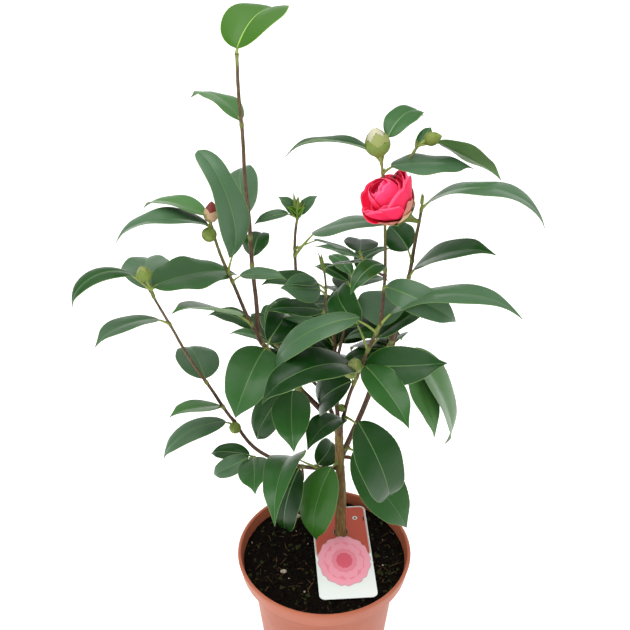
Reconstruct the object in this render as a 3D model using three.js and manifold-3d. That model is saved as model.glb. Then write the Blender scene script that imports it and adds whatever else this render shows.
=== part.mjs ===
// Camellia shrub in a round nursery pot, with its plant label.
// Millimetres, +Z up. The origin is the centre of the pot's flat underside.
import * as THREE from "three";
import { mergeVertices } from "three/addons/utils/BufferGeometryUtils.js";
import Module from "manifold-3d";

const wasm = await Module();
wasm.setup();

// ---------- driving dimensions ----------
const GAP = 0.35; // clearance between neighbouring solids
const POT = {
  height: 130,
  rimRadius: 75,
  lipWidth: 3,
  collarHeight: 15,
  collarTaper: 2.5, // the collar's foot is this much narrower than the rim
  shoulderRadius: 63.5, // outside of the body, just under the collar
  footRadius: 52,
  wall: 1.6,
  floor: 2.4,
  drainHoles: 8,
  drainRadius: 4,
  drainCircle: 36,
  sides: 30,
};
const SOIL = { belowRim: 8.5, crown: 1.2, edgeDrop: 1.5, sides: 20 };
const SOIL_TOP = POT.height - SOIL.belowRim;
const LABEL = {
  width: 49,
  length: 108,
  thickness: 0.6,
  cornerRadius: 5,
  centre: [16.5, 2],
  turnDeg: 4,
  aboveSoil: 2.2,
  trunkHole: 6.3,
  trunkHoleAboveCentre: 22,
  tagHole: 1.3,
  tagHoleAt: [14.2, 39],
};
const TRUNK = {
  base: [15, 24, SOIL_TOP + SOIL.crown + GAP],
  tip: [11, 20, 250],
  bow: [1, 0, 0],
  diameters: [9.8, 6.6],
  flareDiameter: 11.6,
  flareHeight: 9,
};

// Each limb: the limb it leaves, how far along that one, where its own tip is,
// how far its middle bows off the straight line, and its diameter at foot and tip.
const LIMBS = {
  bough_left: { on: "trunk", at: 1, tip: [-51, 15, 341], bow: [0, -7, 2], diameters: [5, 3.4] },
  leader: { on: "bough_left", at: 1, tip: [-59, 10, 571], bow: [-1.5, 9, 0], diameters: [3.4, 2.2] },
  shoot_left: { on: "bough_left", at: 0.97, tip: [-81, -14, 462], bow: [-3, 1, 0], diameters: [3, 2] },
  bough_low_left: { on: "trunk", at: 0.64, tip: [-72, 0, 272], bow: [-12, 0, -15], diameters: [3.6, 2.8] },
  shoot_low_left: {
    on: "bough_low_left", at: 1, tip: [-124, -24, 411],
    bow: [-3, 0, 0], diameters: [2.8, 1.8],
  },
  bough_centre: { on: "trunk", at: 0.99, tip: [-21, 50, 430], bow: [-14, 14, 0], diameters: [3.6, 2] },
  shoot_small: { on: "bough_centre", at: 0.42, tip: [-2, 45, 388], bow: [8, 0, -5], diameters: [2.2, 1.6] },
  bough_right: { on: "trunk", at: 0.7, tip: [53, 34, 328], bow: [3, 8, 0], diameters: [4.8, 4] },
  shoot_right: { on: "bough_right", at: 1, tip: [67, 8, 463], bow: [3, 4, 0], diameters: [3.8, 2] },
  bough_front_right: {
    on: "trunk", at: 0.9, tip: [40.5, -8, 371],
    bow: [-5.5, -6, 0], diameters: [3.2, 2.6],
  },
  shoot_front_right: {
    on: "bough_front_right", at: 1, tip: [38, 13, 492],
    bow: [3.5, 6, 0], diameters: [2.6, 1.8],
  },
  twig_top_right: {
    on: "shoot_front_right", at: 0.84, tip: [66, 28, 500],
    bow: [0, 2, -3], diameters: [1.8, 1.4],
  },
  bough_back: { on: "trunk", at: 0.96, tip: [8, 84, 304], bow: [0, 0, -12], diameters: [4, 2.8] },
  shoot_back_left: { on: "bough_back", at: 0.3, tip: [-44, 70, 302], bow: [0, 6, -6], diameters: [3, 2] },
  shoot_back_right: { on: "bough_right", at: 0.62, tip: [62, 78, 318], bow: [4, 4, -6], diameters: [3, 2] },
  shoot_back_high: { on: "bough_back", at: 0.62, tip: [24, 72, 368], bow: [2, 6, 0], diameters: [2.8, 1.8] },
};

// Each foliage mass grows round a point of a limb. A lobe is
// [heading, rise, reach, breadth]: degrees round from +X, degrees above level, mm, mm.
const MASSES = {
  leaves_top: { on: "leader", at: 1, lobes: [[14, 34, 54, 34], [150, 68, 38, 26]] },
  leaves_leader: { on: "leader", at: 0.77, lobes: [[180, 28, 46, 20], [55, 45, 24, 16]] },
  leaves_left_crest: {
    on: "shoot_left", at: 1,
    lobes: [[186, 10, 52, 22], [174, 4, 48, 18], [196, -4, 68, 28], [160, 20, 34, 18]],
  },
  leaves_left_blade: { on: "shoot_left", at: 0.74, lobes: [[160, 76, 82, 34], [75, 36, 60, 28]] },
  leaves_left_inner: { on: "shoot_left", at: 0.15, lobes: [[180, 12, 50, 18], [160, 2, 36, 20]] },
  leaves_leader_low: {
    on: "leader", at: 0.27,
    lobes: [[100, 50, 26, 18], [45, 30, 32, 18], [15, -8, 36, 18]],
  },
  leaves_far_left: {
    on: "shoot_low_left", at: 1,
    lobes: [[204, 1, 58, 26], [155, 40, 34, 26], [8, 12, 66, 28]],
  },
  leaves_left_outer: { on: "shoot_low_left", at: 0.79, lobes: [[200, -12, 58, 28]] },
  leaves_left_mid: { on: "shoot_low_left", at: 0.33, lobes: [[156, 38, 38, 28], [60, 45, 30, 22]] },
  leaves_left_low: { on: "shoot_low_left", at: 0.04, lobes: [[190, 12, 48, 22], [203, -14, 62, 28]] },
  leaves_foot_left: {
    on: "bough_low_left", at: 0.8,
    lobes: [[180, 8, 36, 24], [199, -13, 36, 20], [264, -46, 36, 26]],
  },
  leaves_fork: {
    on: "bough_left", at: 0.96,
    lobes: [[173, 19, 42, 22], [232, -42, 68, 42], [20, 16, 40, 24]],
  },
  leaves_centre_high: {
    on: "bough_centre", at: 0.84,
    lobes: [[-8, 18, 80, 24], [8, 8, 50, 20], [194, 34, 44, 16], [-60, -50, 34, 20], [178, -40, 48, 18]],
  },
  leaves_centre: {
    on: "shoot_small", at: 0.4,
    lobes: [[183, 1, 52, 24], [165, -8, 42, 20], [80, 34, 34, 26]],
  },
  leaves_front_node: {
    on: "bough_front_right", at: 1,
    lobes: [[-15, 14, 108, 28], [20, 24, 48, 22], [198, -6, 88, 34], [115, 38, 36, 30], [55, 40, 34, 28]],
  },
  leaves_right_upper: {
    on: "shoot_front_right", at: 0.36,
    lobes: [[180, -2, 46, 20], [200, -25, 34, 18], [168, 16, 58, 18]],
  },
  leaves_right_shoulder: {
    on: "shoot_right", at: 0.44,
    lobes: [[5, 14, 68, 26], [-25, -14, 44, 22], [190, 40, 26, 16]],
  },
  leaves_arch: { on: "shoot_right", at: 1, lobes: [[-22, 1, 92, 28], [120, 30, 22, 14]] },
  leaves_bud_top: {
    on: "shoot_front_right", at: 1,
    lobes: [[188, 5, 66, 22], [31, 37, 44, 30], [-15, 2, 62, 24]],
  },
  leaves_top_right: { on: "twig_top_right", at: 1, lobes: [[20, 45, 26, 16], [-26, -12, 58, 22]] },
  leaves_front_mid: {
    on: "bough_front_right", at: 0.72,
    lobes: [[200, -9, 84, 34], [-42, -35, 62, 32], [4, 0, 64, 40]],
  },
  leaves_right_hanging: { on: "bough_right", at: 1, lobes: [[-25, -30, 66, 34], [-54, -47, 86, 30]] },
  leaves_under_fork: {
    on: "bough_left", at: 0.48,
    lobes: [[210, -43, 56, 28], [268, -49, 54, 38], [-27, -12, 30, 24]],
  },
  leaves_front_low: { on: "bough_front_right", at: 0.2, lobes: [[195, -14, 46, 24], [-53, -31, 72, 44]] },
  leaves_foot_front_left: { on: "bough_low_left", at: 0.4, lobes: [[250, -43, 62, 30], [246, -68, 58, 28]] },
  leaves_foot_front: { on: "trunk", at: 0.68, lobes: [[253, -43, 66, 36], [137, 39, 26, 20]] },
  leaves_foot_right: { on: "bough_right", at: 0.12, lobes: [[-33, -42, 84, 34]] },
};

// The far side of the crown: fans of leaves, whose headings run from `first` to `last`.
const FANS = {
  leaves_back: { on: "bough_back", at: 1, count: 4, first: 15, last: 165, reach: 64, breadth: 34, rise: 4 },
  leaves_back_low: {
    on: "bough_back", at: 0.55, count: 3, first: 40, last: 150,
    reach: 62, breadth: 34, rise: -30,
  },
  leaves_back_left: {
    on: "shoot_back_left", at: 1, count: 4, first: 50, last: 215,
    reach: 56, breadth: 30, rise: -6,
  },
  leaves_back_right: {
    on: "shoot_back_right", at: 1, count: 4, first: 0, last: 125,
    reach: 56, breadth: 32, rise: -8,
  },
  leaves_back_high: {
    on: "shoot_back_high", at: 1, count: 4, first: 5, last: 175,
    reach: 54, breadth: 28, rise: 12,
  },
};
const FAN_SPREAD = 16; // degrees that neighbouring leaves of a fan stand above or below its rise
const FAN_SHORTER = 0.15; // share by which every other leaf is shorter

const LOBE = { thickness: 6.5, around: 5, along: 4, arch: 0.09, unevenness: 0.12 };
const CORE_RADIUS = 6.5; // the knot of leaf stalks inside each mass
const LIMB_SIDES = 5;
const LIMB_STEPS = 5;
const DETAIL = 0.3; // edges shorter than this are merged away after a cut
const TIP_SETBACK = 3.5; // a limb ends this far short of its tip, inside its mass

const FINISH = {
  terracotta: { color: 0xbb7960, roughness: 0.55, metalness: 0 },
  soil: { color: 0x14100c, roughness: 1, metalness: 0 },
  card: { color: 0xeeb0a8, roughness: 0.35, metalness: 0 },
  bark: { color: 0x98703f, roughness: 0.8, metalness: 0 },
  shoot: { color: 0x7a4a34, roughness: 0.7, metalness: 0 },
  leaf: { color: 0x2f5f36, roughness: 0.35, metalness: 0 },
};

// ---------- helpers ----------
const vector = (p) => new THREE.Vector3(...p);

function direction(headingDeg, riseDeg) {
  const heading = THREE.MathUtils.degToRad(headingDeg);
  const rise = THREE.MathUtils.degToRad(riseDeg);
  return vector([Math.cos(rise) * Math.cos(heading), Math.cos(rise) * Math.sin(heading), Math.sin(rise)]);
}

function toSolid(geometry) {
  const bare = geometry.clone();
  bare.deleteAttribute("normal");
  bare.deleteAttribute("uv");
  const merged = mergeVertices(bare, 1e-3);
  return new wasm.Manifold(new wasm.Mesh({
    numProp: 3,
    vertProperties: new Float32Array(merged.attributes.position.array),
    triVerts: new Uint32Array(merged.index.array),
  }));
}

function toGeometry(solid) {
  const mesh = solid.getMesh();
  const geometry = new THREE.BufferGeometry();
  geometry.setAttribute("position", new THREE.BufferAttribute(new Float32Array(mesh.vertProperties), 3));
  geometry.setIndex(new THREE.BufferAttribute(new Uint32Array(mesh.triVerts), 1));
  return geometry;
}

// What a cut leaves: its largest body, without slivers smaller than the detail size.
function largestBody(solid) {
  const body = solid.decompose().sort((a, b) => b.volume() - a.volume())[0];
  return body.simplify(DETAIL);
}

function named(name, geometry, finish) {
  const mesh = new THREE.Mesh(geometry, new THREE.MeshStandardMaterial(finish));
  mesh.name = name;
  return mesh;
}

// A lathed shape turned so that its axis is +Z.
function lathe(profile, sides) {
  const geometry = new THREE.LatheGeometry(profile.map(([r, z]) => new THREE.Vector2(r, z)), sides);
  return geometry.rotateX(Math.PI / 2);
}

// ---------- pot, soil and label ----------
function potRadiusAt(z, inset) {
  const shoulder = POT.height - POT.collarHeight;
  return THREE.MathUtils.mapLinear(z, 0, shoulder, POT.footRadius, POT.shoulderRadius) - inset;
}

function makePot() {
  const shoulder = POT.height - POT.collarHeight;
  const collarFoot = POT.rimRadius - POT.collarTaper;
  const innerRim = POT.rimRadius - POT.lipWidth;
  const innerShoulder = potRadiusAt(shoulder, POT.wall);
  const profile = [
    [0, 0],
    [POT.footRadius - 2, 0],
    [POT.footRadius, 2],
    [POT.shoulderRadius, shoulder],
    [collarFoot, shoulder + 0.8],
    [POT.rimRadius, POT.height - 2],
    [POT.rimRadius - 0.9, POT.height],
    [innerRim + 0.9, POT.height],
    [innerRim, POT.height - 1.2],
    [innerRim - POT.collarTaper, shoulder + 2],
    [innerShoulder, shoulder - 1.5],
    [potRadiusAt(POT.floor, POT.wall), POT.floor],
    [0, POT.floor],
  ];
  let solid = toSolid(lathe(profile, POT.sides));
  for (let i = 0; i < POT.drainHoles; i += 1) {
    const angle = (2 * Math.PI * i) / POT.drainHoles;
    const hole = new THREE.CylinderGeometry(POT.drainRadius, POT.drainRadius, 4 * POT.floor, 8);
    hole.rotateX(Math.PI / 2);
    hole.translate(POT.drainCircle * Math.cos(angle), POT.drainCircle * Math.sin(angle), 0);
    solid = solid.subtract(toSolid(hole));
  }
  return named("pot", toGeometry(solid), FINISH.terracotta);
}

function makeSoil() {
  const inset = POT.wall + GAP;
  const shoulder = POT.height - POT.collarHeight;
  const edge = POT.rimRadius - POT.lipWidth - POT.collarTaper - GAP;
  const profile = [
    [0, POT.floor + GAP],
    [potRadiusAt(POT.floor, inset), POT.floor + GAP],
    [potRadiusAt(shoulder, inset), shoulder - 1.5 + GAP / 2],
    [edge, shoulder + 2 + GAP],
    [edge, SOIL_TOP - SOIL.edgeDrop],
    [edge - 8, SOIL_TOP],
    [edge * 0.6, SOIL_TOP + SOIL.crown],
    [0, SOIL_TOP + SOIL.crown],
  ];
  return named("soil", lathe(profile, SOIL.sides), FINISH.soil);
}

function makeLabel() {
  const halfWidth = LABEL.width / 2;
  const halfLength = LABEL.length / 2;
  const r = LABEL.cornerRadius;
  const outline = new THREE.Shape();
  outline.absarc(halfWidth - r, halfLength - r, r, 0, Math.PI / 2);
  outline.absarc(r - halfWidth, halfLength - r, r, Math.PI / 2, Math.PI);
  outline.absarc(r - halfWidth, r - halfLength, r, Math.PI, 1.5 * Math.PI);
  outline.absarc(halfWidth - r, r - halfLength, r, 1.5 * Math.PI, 2 * Math.PI);
  outline.closePath();
  const trunkHole = new THREE.Path();
  trunkHole.absarc(0, LABEL.trunkHoleAboveCentre, LABEL.trunkHole, 0, 2 * Math.PI, true);
  const tagHole = new THREE.Path();
  tagHole.absarc(...LABEL.tagHoleAt, LABEL.tagHole, 0, 2 * Math.PI, true);
  outline.holes.push(trunkHole, tagHole);
  const plate = new THREE.ExtrudeGeometry(outline, {
    depth: LABEL.thickness, bevelEnabled: false, curveSegments: 5,
  });
  const label = named("plant_label", toGeometry(toSolid(plate)), FINISH.card);
  label.position.set(...LABEL.centre, SOIL_TOP + SOIL.crown + LABEL.aboveSoil);
  label.rotation.z = THREE.MathUtils.degToRad(LABEL.turnDeg);
  return label;
}

// ---------- trunk and limbs ----------
// A curve whose middle stands off the straight line from foot to tip by `bow`.
function bowedCurve(foot, tip, bow) {
  const control = foot.clone().add(tip).multiplyScalar(0.5).addScaledVector(vector(bow), 2);
  return new THREE.QuadraticBezierCurve3(foot, control, tip);
}

const curves = { trunk: bowedCurve(vector(TRUNK.base), vector(TRUNK.tip), TRUNK.bow) };
for (const [name, limb] of Object.entries(LIMBS)) {
  curves[name] = bowedCurve(curves[limb.on].getPointAt(limb.at), vector(limb.tip), limb.bow);
}

// A straight lathed column bent along a curve; radiusAt(s) gives its radius, s from 0 to 1.
function bentColumn(curve, radiusAt, until) {
  const profile = [new THREE.Vector2(0, 0)];
  for (let i = 0; i <= LIMB_STEPS; i += 1) {
    const s = (until * i) / LIMB_STEPS;
    profile.push(new THREE.Vector2(radiusAt(s), s));
  }
  profile.push(new THREE.Vector2(0, until));
  const geometry = new THREE.LatheGeometry(profile, LIMB_SIDES);
  const position = geometry.attributes.position;
  for (let i = 0; i < position.count; i += 1) {
    const s = position.getY(i);
    const along = curve.getTangentAt(s);
    const side = new THREE.Vector3(0, 1, 0).cross(along).normalize();
    const out = side.clone().cross(along);
    const point = curve.getPointAt(s);
    point.addScaledVector(side, position.getX(i)).addScaledVector(out, position.getZ(i));
    if (s === 0 && curve === curves.trunk) point.setZ(TRUNK.base[2]); // cut flat at the soil
    position.setXYZ(i, ...point);
  }
  return toSolid(geometry);
}

function trunkRadius(s) {
  const height = s * (TRUNK.tip[2] - TRUNK.base[2]);
  const flare = (TRUNK.flareDiameter - TRUNK.diameters[0]) * Math.exp(-3 * height / TRUNK.flareHeight);
  return (THREE.MathUtils.lerp(...TRUNK.diameters, s) + flare) / 2;
}

const limbRadius = (limb) => (s) => THREE.MathUtils.lerp(...limb.diameters, s) / 2;

const bark = []; // limbs made so far, each grown by the clearance
function makeLimb(name, radiusAt, finish) {
  const curve = curves[name];
  const until = 1 - TIP_SETBACK / curve.getLength();
  let solid = bentColumn(curve, radiusAt, until);
  for (const cutter of bark) solid = solid.subtract(cutter);
  bark.push(bentColumn(curve, (s) => radiusAt(s) + GAP, Math.min(1, until + 0.4 / curve.getLength())));
  return named(name, toGeometry(largestBody(solid)), finish);
}

// ---------- foliage ----------
// One thick leaf-shaped lobe: a sphere stretched from foot to tip, pointed and arched.
function makeLobe(foot, [heading, rise, reach, breadth], grow, seed) {
  const along = direction(heading, rise);
  const side = along.clone().cross(vector([0, 0, 1])).normalize();
  const up = side.clone().cross(along);
  const geometry = new THREE.SphereGeometry(1, LOBE.around, LOBE.along);
  const position = geometry.attributes.position;
  for (let i = 0; i < position.count; i += 1) {
    const s = (1 + position.getY(i)) / 2;
    const taper = 1.25 - 0.5 * s;
    const wave = 1 + LOBE.unevenness * Math.sin(7 * s + seed + 2 * position.getX(i));
    const across = position.getX(i) * (breadth / 2 + grow) * taper * wave;
    const lift = position.getZ(i) * (LOBE.thickness / 2 + grow) + 4 * LOBE.arch * reach * s * (1 - s);
    const point = foot.clone().addScaledVector(along, s * (reach + grow));
    point.addScaledVector(side, across).addScaledVector(up, lift);
    position.setXYZ(i, ...point);
  }
  return toSolid(geometry);
}

function makeMassSolid(mass, grow, seed) {
  const heart = curves[mass.on].getPointAt(mass.at);
  const core = new THREE.IcosahedronGeometry(CORE_RADIUS + grow).translate(...heart);
  let solid = toSolid(core);
  mass.lobes.forEach((lobe, i) => {
    solid = solid.add(makeLobe(heart, lobe, grow, seed + 1.7 * i));
  });
  return solid;
}

function fanLobes({ count, first, last, reach, breadth, rise }) {
  return Array.from({ length: count }, (_, i) => {
    const heading = THREE.MathUtils.lerp(first, last, i / (count - 1));
    return [heading, rise + FAN_SPREAD * (i % 3 - 1), reach * (1 - FAN_SHORTER * (i % 2)), breadth];
  });
}

const foliage = []; // masses made so far, each grown by the clearance
function makeMass(name, mass, seed) {
  let solid = makeMassSolid(mass, 0, seed);
  for (const cutter of [...bark, ...foliage]) solid = solid.subtract(cutter);
  foliage.push(makeMassSolid(mass, GAP, seed));
  return named(name, toGeometry(largestBody(solid)), FINISH.leaf);
}

// ---------- assembly ----------
const shrub = new THREE.Group();
shrub.add(makePot(), makeSoil(), makeLabel());
shrub.add(makeLimb("trunk", trunkRadius, FINISH.bark));
for (const [name, limb] of Object.entries(LIMBS)) {
  shrub.add(makeLimb(name, limbRadius(limb), FINISH.shoot));
}
Object.entries(MASSES).forEach(([name, mass], i) => shrub.add(makeMass(name, mass, i)));
Object.entries(FANS).forEach(([name, fan], i) => {
  shrub.add(makeMass(name, { ...fan, lobes: fanLobes(fan) }, i));
});

export default shrub;
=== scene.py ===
"""Camellia shrub in a round nursery pot: the looks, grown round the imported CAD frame."""
import math
from collections import namedtuple
from itertools import combinations
from types import SimpleNamespace as Table

import bpy
import numpy as np
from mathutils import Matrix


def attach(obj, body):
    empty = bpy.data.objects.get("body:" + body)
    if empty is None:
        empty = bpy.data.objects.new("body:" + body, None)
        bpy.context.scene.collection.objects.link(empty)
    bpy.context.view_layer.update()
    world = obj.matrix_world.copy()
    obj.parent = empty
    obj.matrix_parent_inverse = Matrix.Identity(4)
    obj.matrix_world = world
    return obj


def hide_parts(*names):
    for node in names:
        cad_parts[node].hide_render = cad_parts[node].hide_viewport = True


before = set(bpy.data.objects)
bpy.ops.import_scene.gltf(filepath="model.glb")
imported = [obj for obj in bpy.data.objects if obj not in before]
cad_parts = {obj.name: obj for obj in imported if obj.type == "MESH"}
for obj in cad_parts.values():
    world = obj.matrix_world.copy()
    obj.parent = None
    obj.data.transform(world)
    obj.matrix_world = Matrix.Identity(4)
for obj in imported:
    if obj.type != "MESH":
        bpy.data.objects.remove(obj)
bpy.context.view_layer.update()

MM = 0.001  # the tables below are in millimetres, and Blender works in metres
SEED = 11
GOLDEN_ANGLE = 137.5

# ---------- camera and light ----------
CAMERA = Table(place=(-8, -660, 813), pitch_down=33.64, lens=60.97, sensor=36)
# Brightness of the studio's walls and ceiling, by height (the upright part of a unit direction).
STUDIO = ((0.0, 0.62), (0.24, 0.62), (0.34, 0.12), (0.85, 1.0))
STUDIO_STRENGTH = 1.6
FLOOR = Table(size=14, white=(0.86, 0.86, 0.86), roughness=0.9, glow=0.42)
# The lamps: place and size in metres, and power in watts.
LAMPS = {"overhead": ((-0.35, -0.25, 1.75), 1.3, 15), "front": ((-0.9, -1.5, 1.1), 1.2, 6)}
LAMP_AIM = (0, 0, 0.3)

# ---------- pot, soil and label ----------
POT = Table(
    height=130, rim=75, lip=3, collar=15, collar_taper=2.5,
    shoulder=63.5, foot=52, wall=1.6, floor=2.4,
    drain_holes=8, drain_radius=4, drain_circle=36,
    recess=1.2,  # under the floor
    foot_round=1.6, shoulder_round=1.3, collar_round=1.1, rim_round=1.3, lip_round=1.0,
)
SHOULDER_HEIGHT = POT.height - POT.collar
COLLAR_INSIDE = POT.rim - POT.lip - POT.collar_taper
SOIL = Table(
    top=121.5, rings=62, sides=150, crumbs=2600, fibres=150,
    crown=1.0, fall=2.6, slope=(52, 70),  # it falls from the crown between these radii
    lumps=((40, 0.5), (17, 0.45), (8, 0.35), (4.2, 0.3)),  # wavelength and height
    crumb_size=0.5, crumb_growth=1.9,  # the least radius, and what the biggest ones have over it
    pale_share=0.012, mossy_share=0.18, mossy_extra=0.2,  # of the crumbs; the extra is on the right
    pebbles=((-35, -20, 3.0, "crumb_pale"), (-36, -39, 2.2, "crumb_mossy")),
)
LABEL = Table(
    width=49, length=108, thickness=0.6, corner=5, centre=(16.5, 2, 124.9), turn=4,
    trunk_hole=(0, 22, 6.3), tag_hole=(14.2, 39, 1.3), border=1.1,
    print_end=-6,  # the coloured field's lower end, from the label's middle
    print_inset=0.5, border_corner=4.6, field_corner=3.8,
    rosette=(0, -12), rosette_radius=23, rosette_stretch=1.26,
    layer=0.06,  # thickness of the print
    petal_step=0.008,  # each petal of the picture lies this much over the one before
)
# The picture's petals: how many, length and width (shares of its radius), and skin.
ROSETTE = (
    (8, 1.0, 0.92, "print_shade"), (8, 0.97, 0.84, "print_pale"), (7, 0.76, 0.70, "print_pink"),
    (6, 0.72, 0.62, "print_pale"), (6, 0.48, 0.50, "print_pink"), (5, 0.30, 0.36, "print_deep"),
)

# ---------- limbs, as in the CAD model ----------
TRUNK = Table(
    foot=(15, 24, 123.05), tip=(11, 20, 250), bow=(1, 0, 0),
    diameters=(9.8, 6.6), flare=1.8, flare_height=9,
)
# A limb starts at a share of another's length. Its middle stands off the straight line to its tip
# by `bow`. Its diameter goes from the first to the second, and `green` is how green its tip is.
Limb = namedtuple("Limb", "on at tip bow diameters green")
LIMBS = {
    "bough_left": Limb("trunk", 1, (-51, 15, 341), (0, -7, 2), (5, 3.4), 0.0),
    "leader": Limb("bough_left", 1, (-59, 10, 571), (-1.5, 9, 0), (3.4, 2.2), 0.12),
    "shoot_left": Limb("bough_left", 0.97, (-81, -14, 462), (-3, 1, 0), (3, 2), 0.35),
    "bough_low_left": Limb("trunk", 0.64, (-72, 0, 272), (-12, 0, -15), (3.6, 2.8), 0.0),
    "shoot_low_left": Limb("bough_low_left", 1, (-124, -24, 411), (-3, 0, 0), (2.8, 1.8), 0.15),
    "bough_centre": Limb("trunk", 0.99, (-21, 50, 430), (-14, 14, 0), (3.6, 2), 0.1),
    "shoot_small": Limb("bough_centre", 0.42, (-2, 45, 388), (8, 0, -5), (2.2, 1.6), 0.3),
    "bough_right": Limb("trunk", 0.7, (53, 34, 328), (3, 8, 0), (4.8, 4), 0.0),
    "shoot_right": Limb("bough_right", 1, (67, 8, 463), (3, 4, 0), (3.8, 2), 0.2),
    "bough_front_right": Limb("trunk", 0.9, (40.5, -8, 371), (-5.5, -6, 0), (3.2, 2.6), 0.1),
    "shoot_front_right": Limb("bough_front_right", 1, (38, 13, 492), (3.5, 6, 0), (2.6, 1.8), 0.8),
    "twig_top_right": Limb("shoot_front_right", 0.84, (66, 28, 500), (0, 2, -3), (1.8, 1.4), 0.9),
    "bough_back": Limb("trunk", 0.96, (8, 84, 304), (0, 0, -12), (4, 2.8), 0.0),
    "shoot_back_left": Limb("bough_back", 0.3, (-44, 70, 302), (0, 6, -6), (3, 2), 0.2),
    "shoot_back_right": Limb("bough_right", 0.62, (62, 78, 318), (4, 4, -6), (3, 2), 0.2),
    "shoot_back_high": Limb("bough_back", 0.62, (24, 72, 368), (2, 6, 0), (2.8, 1.8), 0.2),
}
# Twigs too fine for the CAD model.
TWIGS = {
    "twig_centre": Limb("shoot_front_right", 0.3, (26, 18, 414), (0, 3, -4), (1.9, 1.4), 0.3),
    "twig_low_left": Limb("bough_low_left", 0.5, (-58, -2, 237), (0, 0, -3), (2.0, 1.6), 0.1),
}
ALL_LIMBS = {**LIMBS, **TWIGS}
BARK = Table(
    trunk_sides=28, limb_sides=14, step=1.6,  # points round a limb, and rings along it
    ridges=(2, 3, 5, 7),  # how many ridges each wave of the relief puts round a limb
    young_share=0.45,  # a shoot's ridges against the trunk's
    node_reach=1.7, node_height=0.45,  # the swelling at a leaf's node or a fork
    collar=0.35, collar_reach=3,  # a limb's thicker foot
    wander=0.35, wander_lengths=(11, 13, 1e9),  # a slight zigzag in X and Y, and none in Z
)
# Dry ends of cut wood: limb, share of its length, heading, rise, length and radius.
SNAGS = (
    ("bough_right", 0.03, 24, -40, 19, 1.7), ("bough_low_left", 0.28, -80, -60, 12, 1.0),
    ("bough_left", 0.30, -70, 50, 6, 0.9),
)

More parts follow.
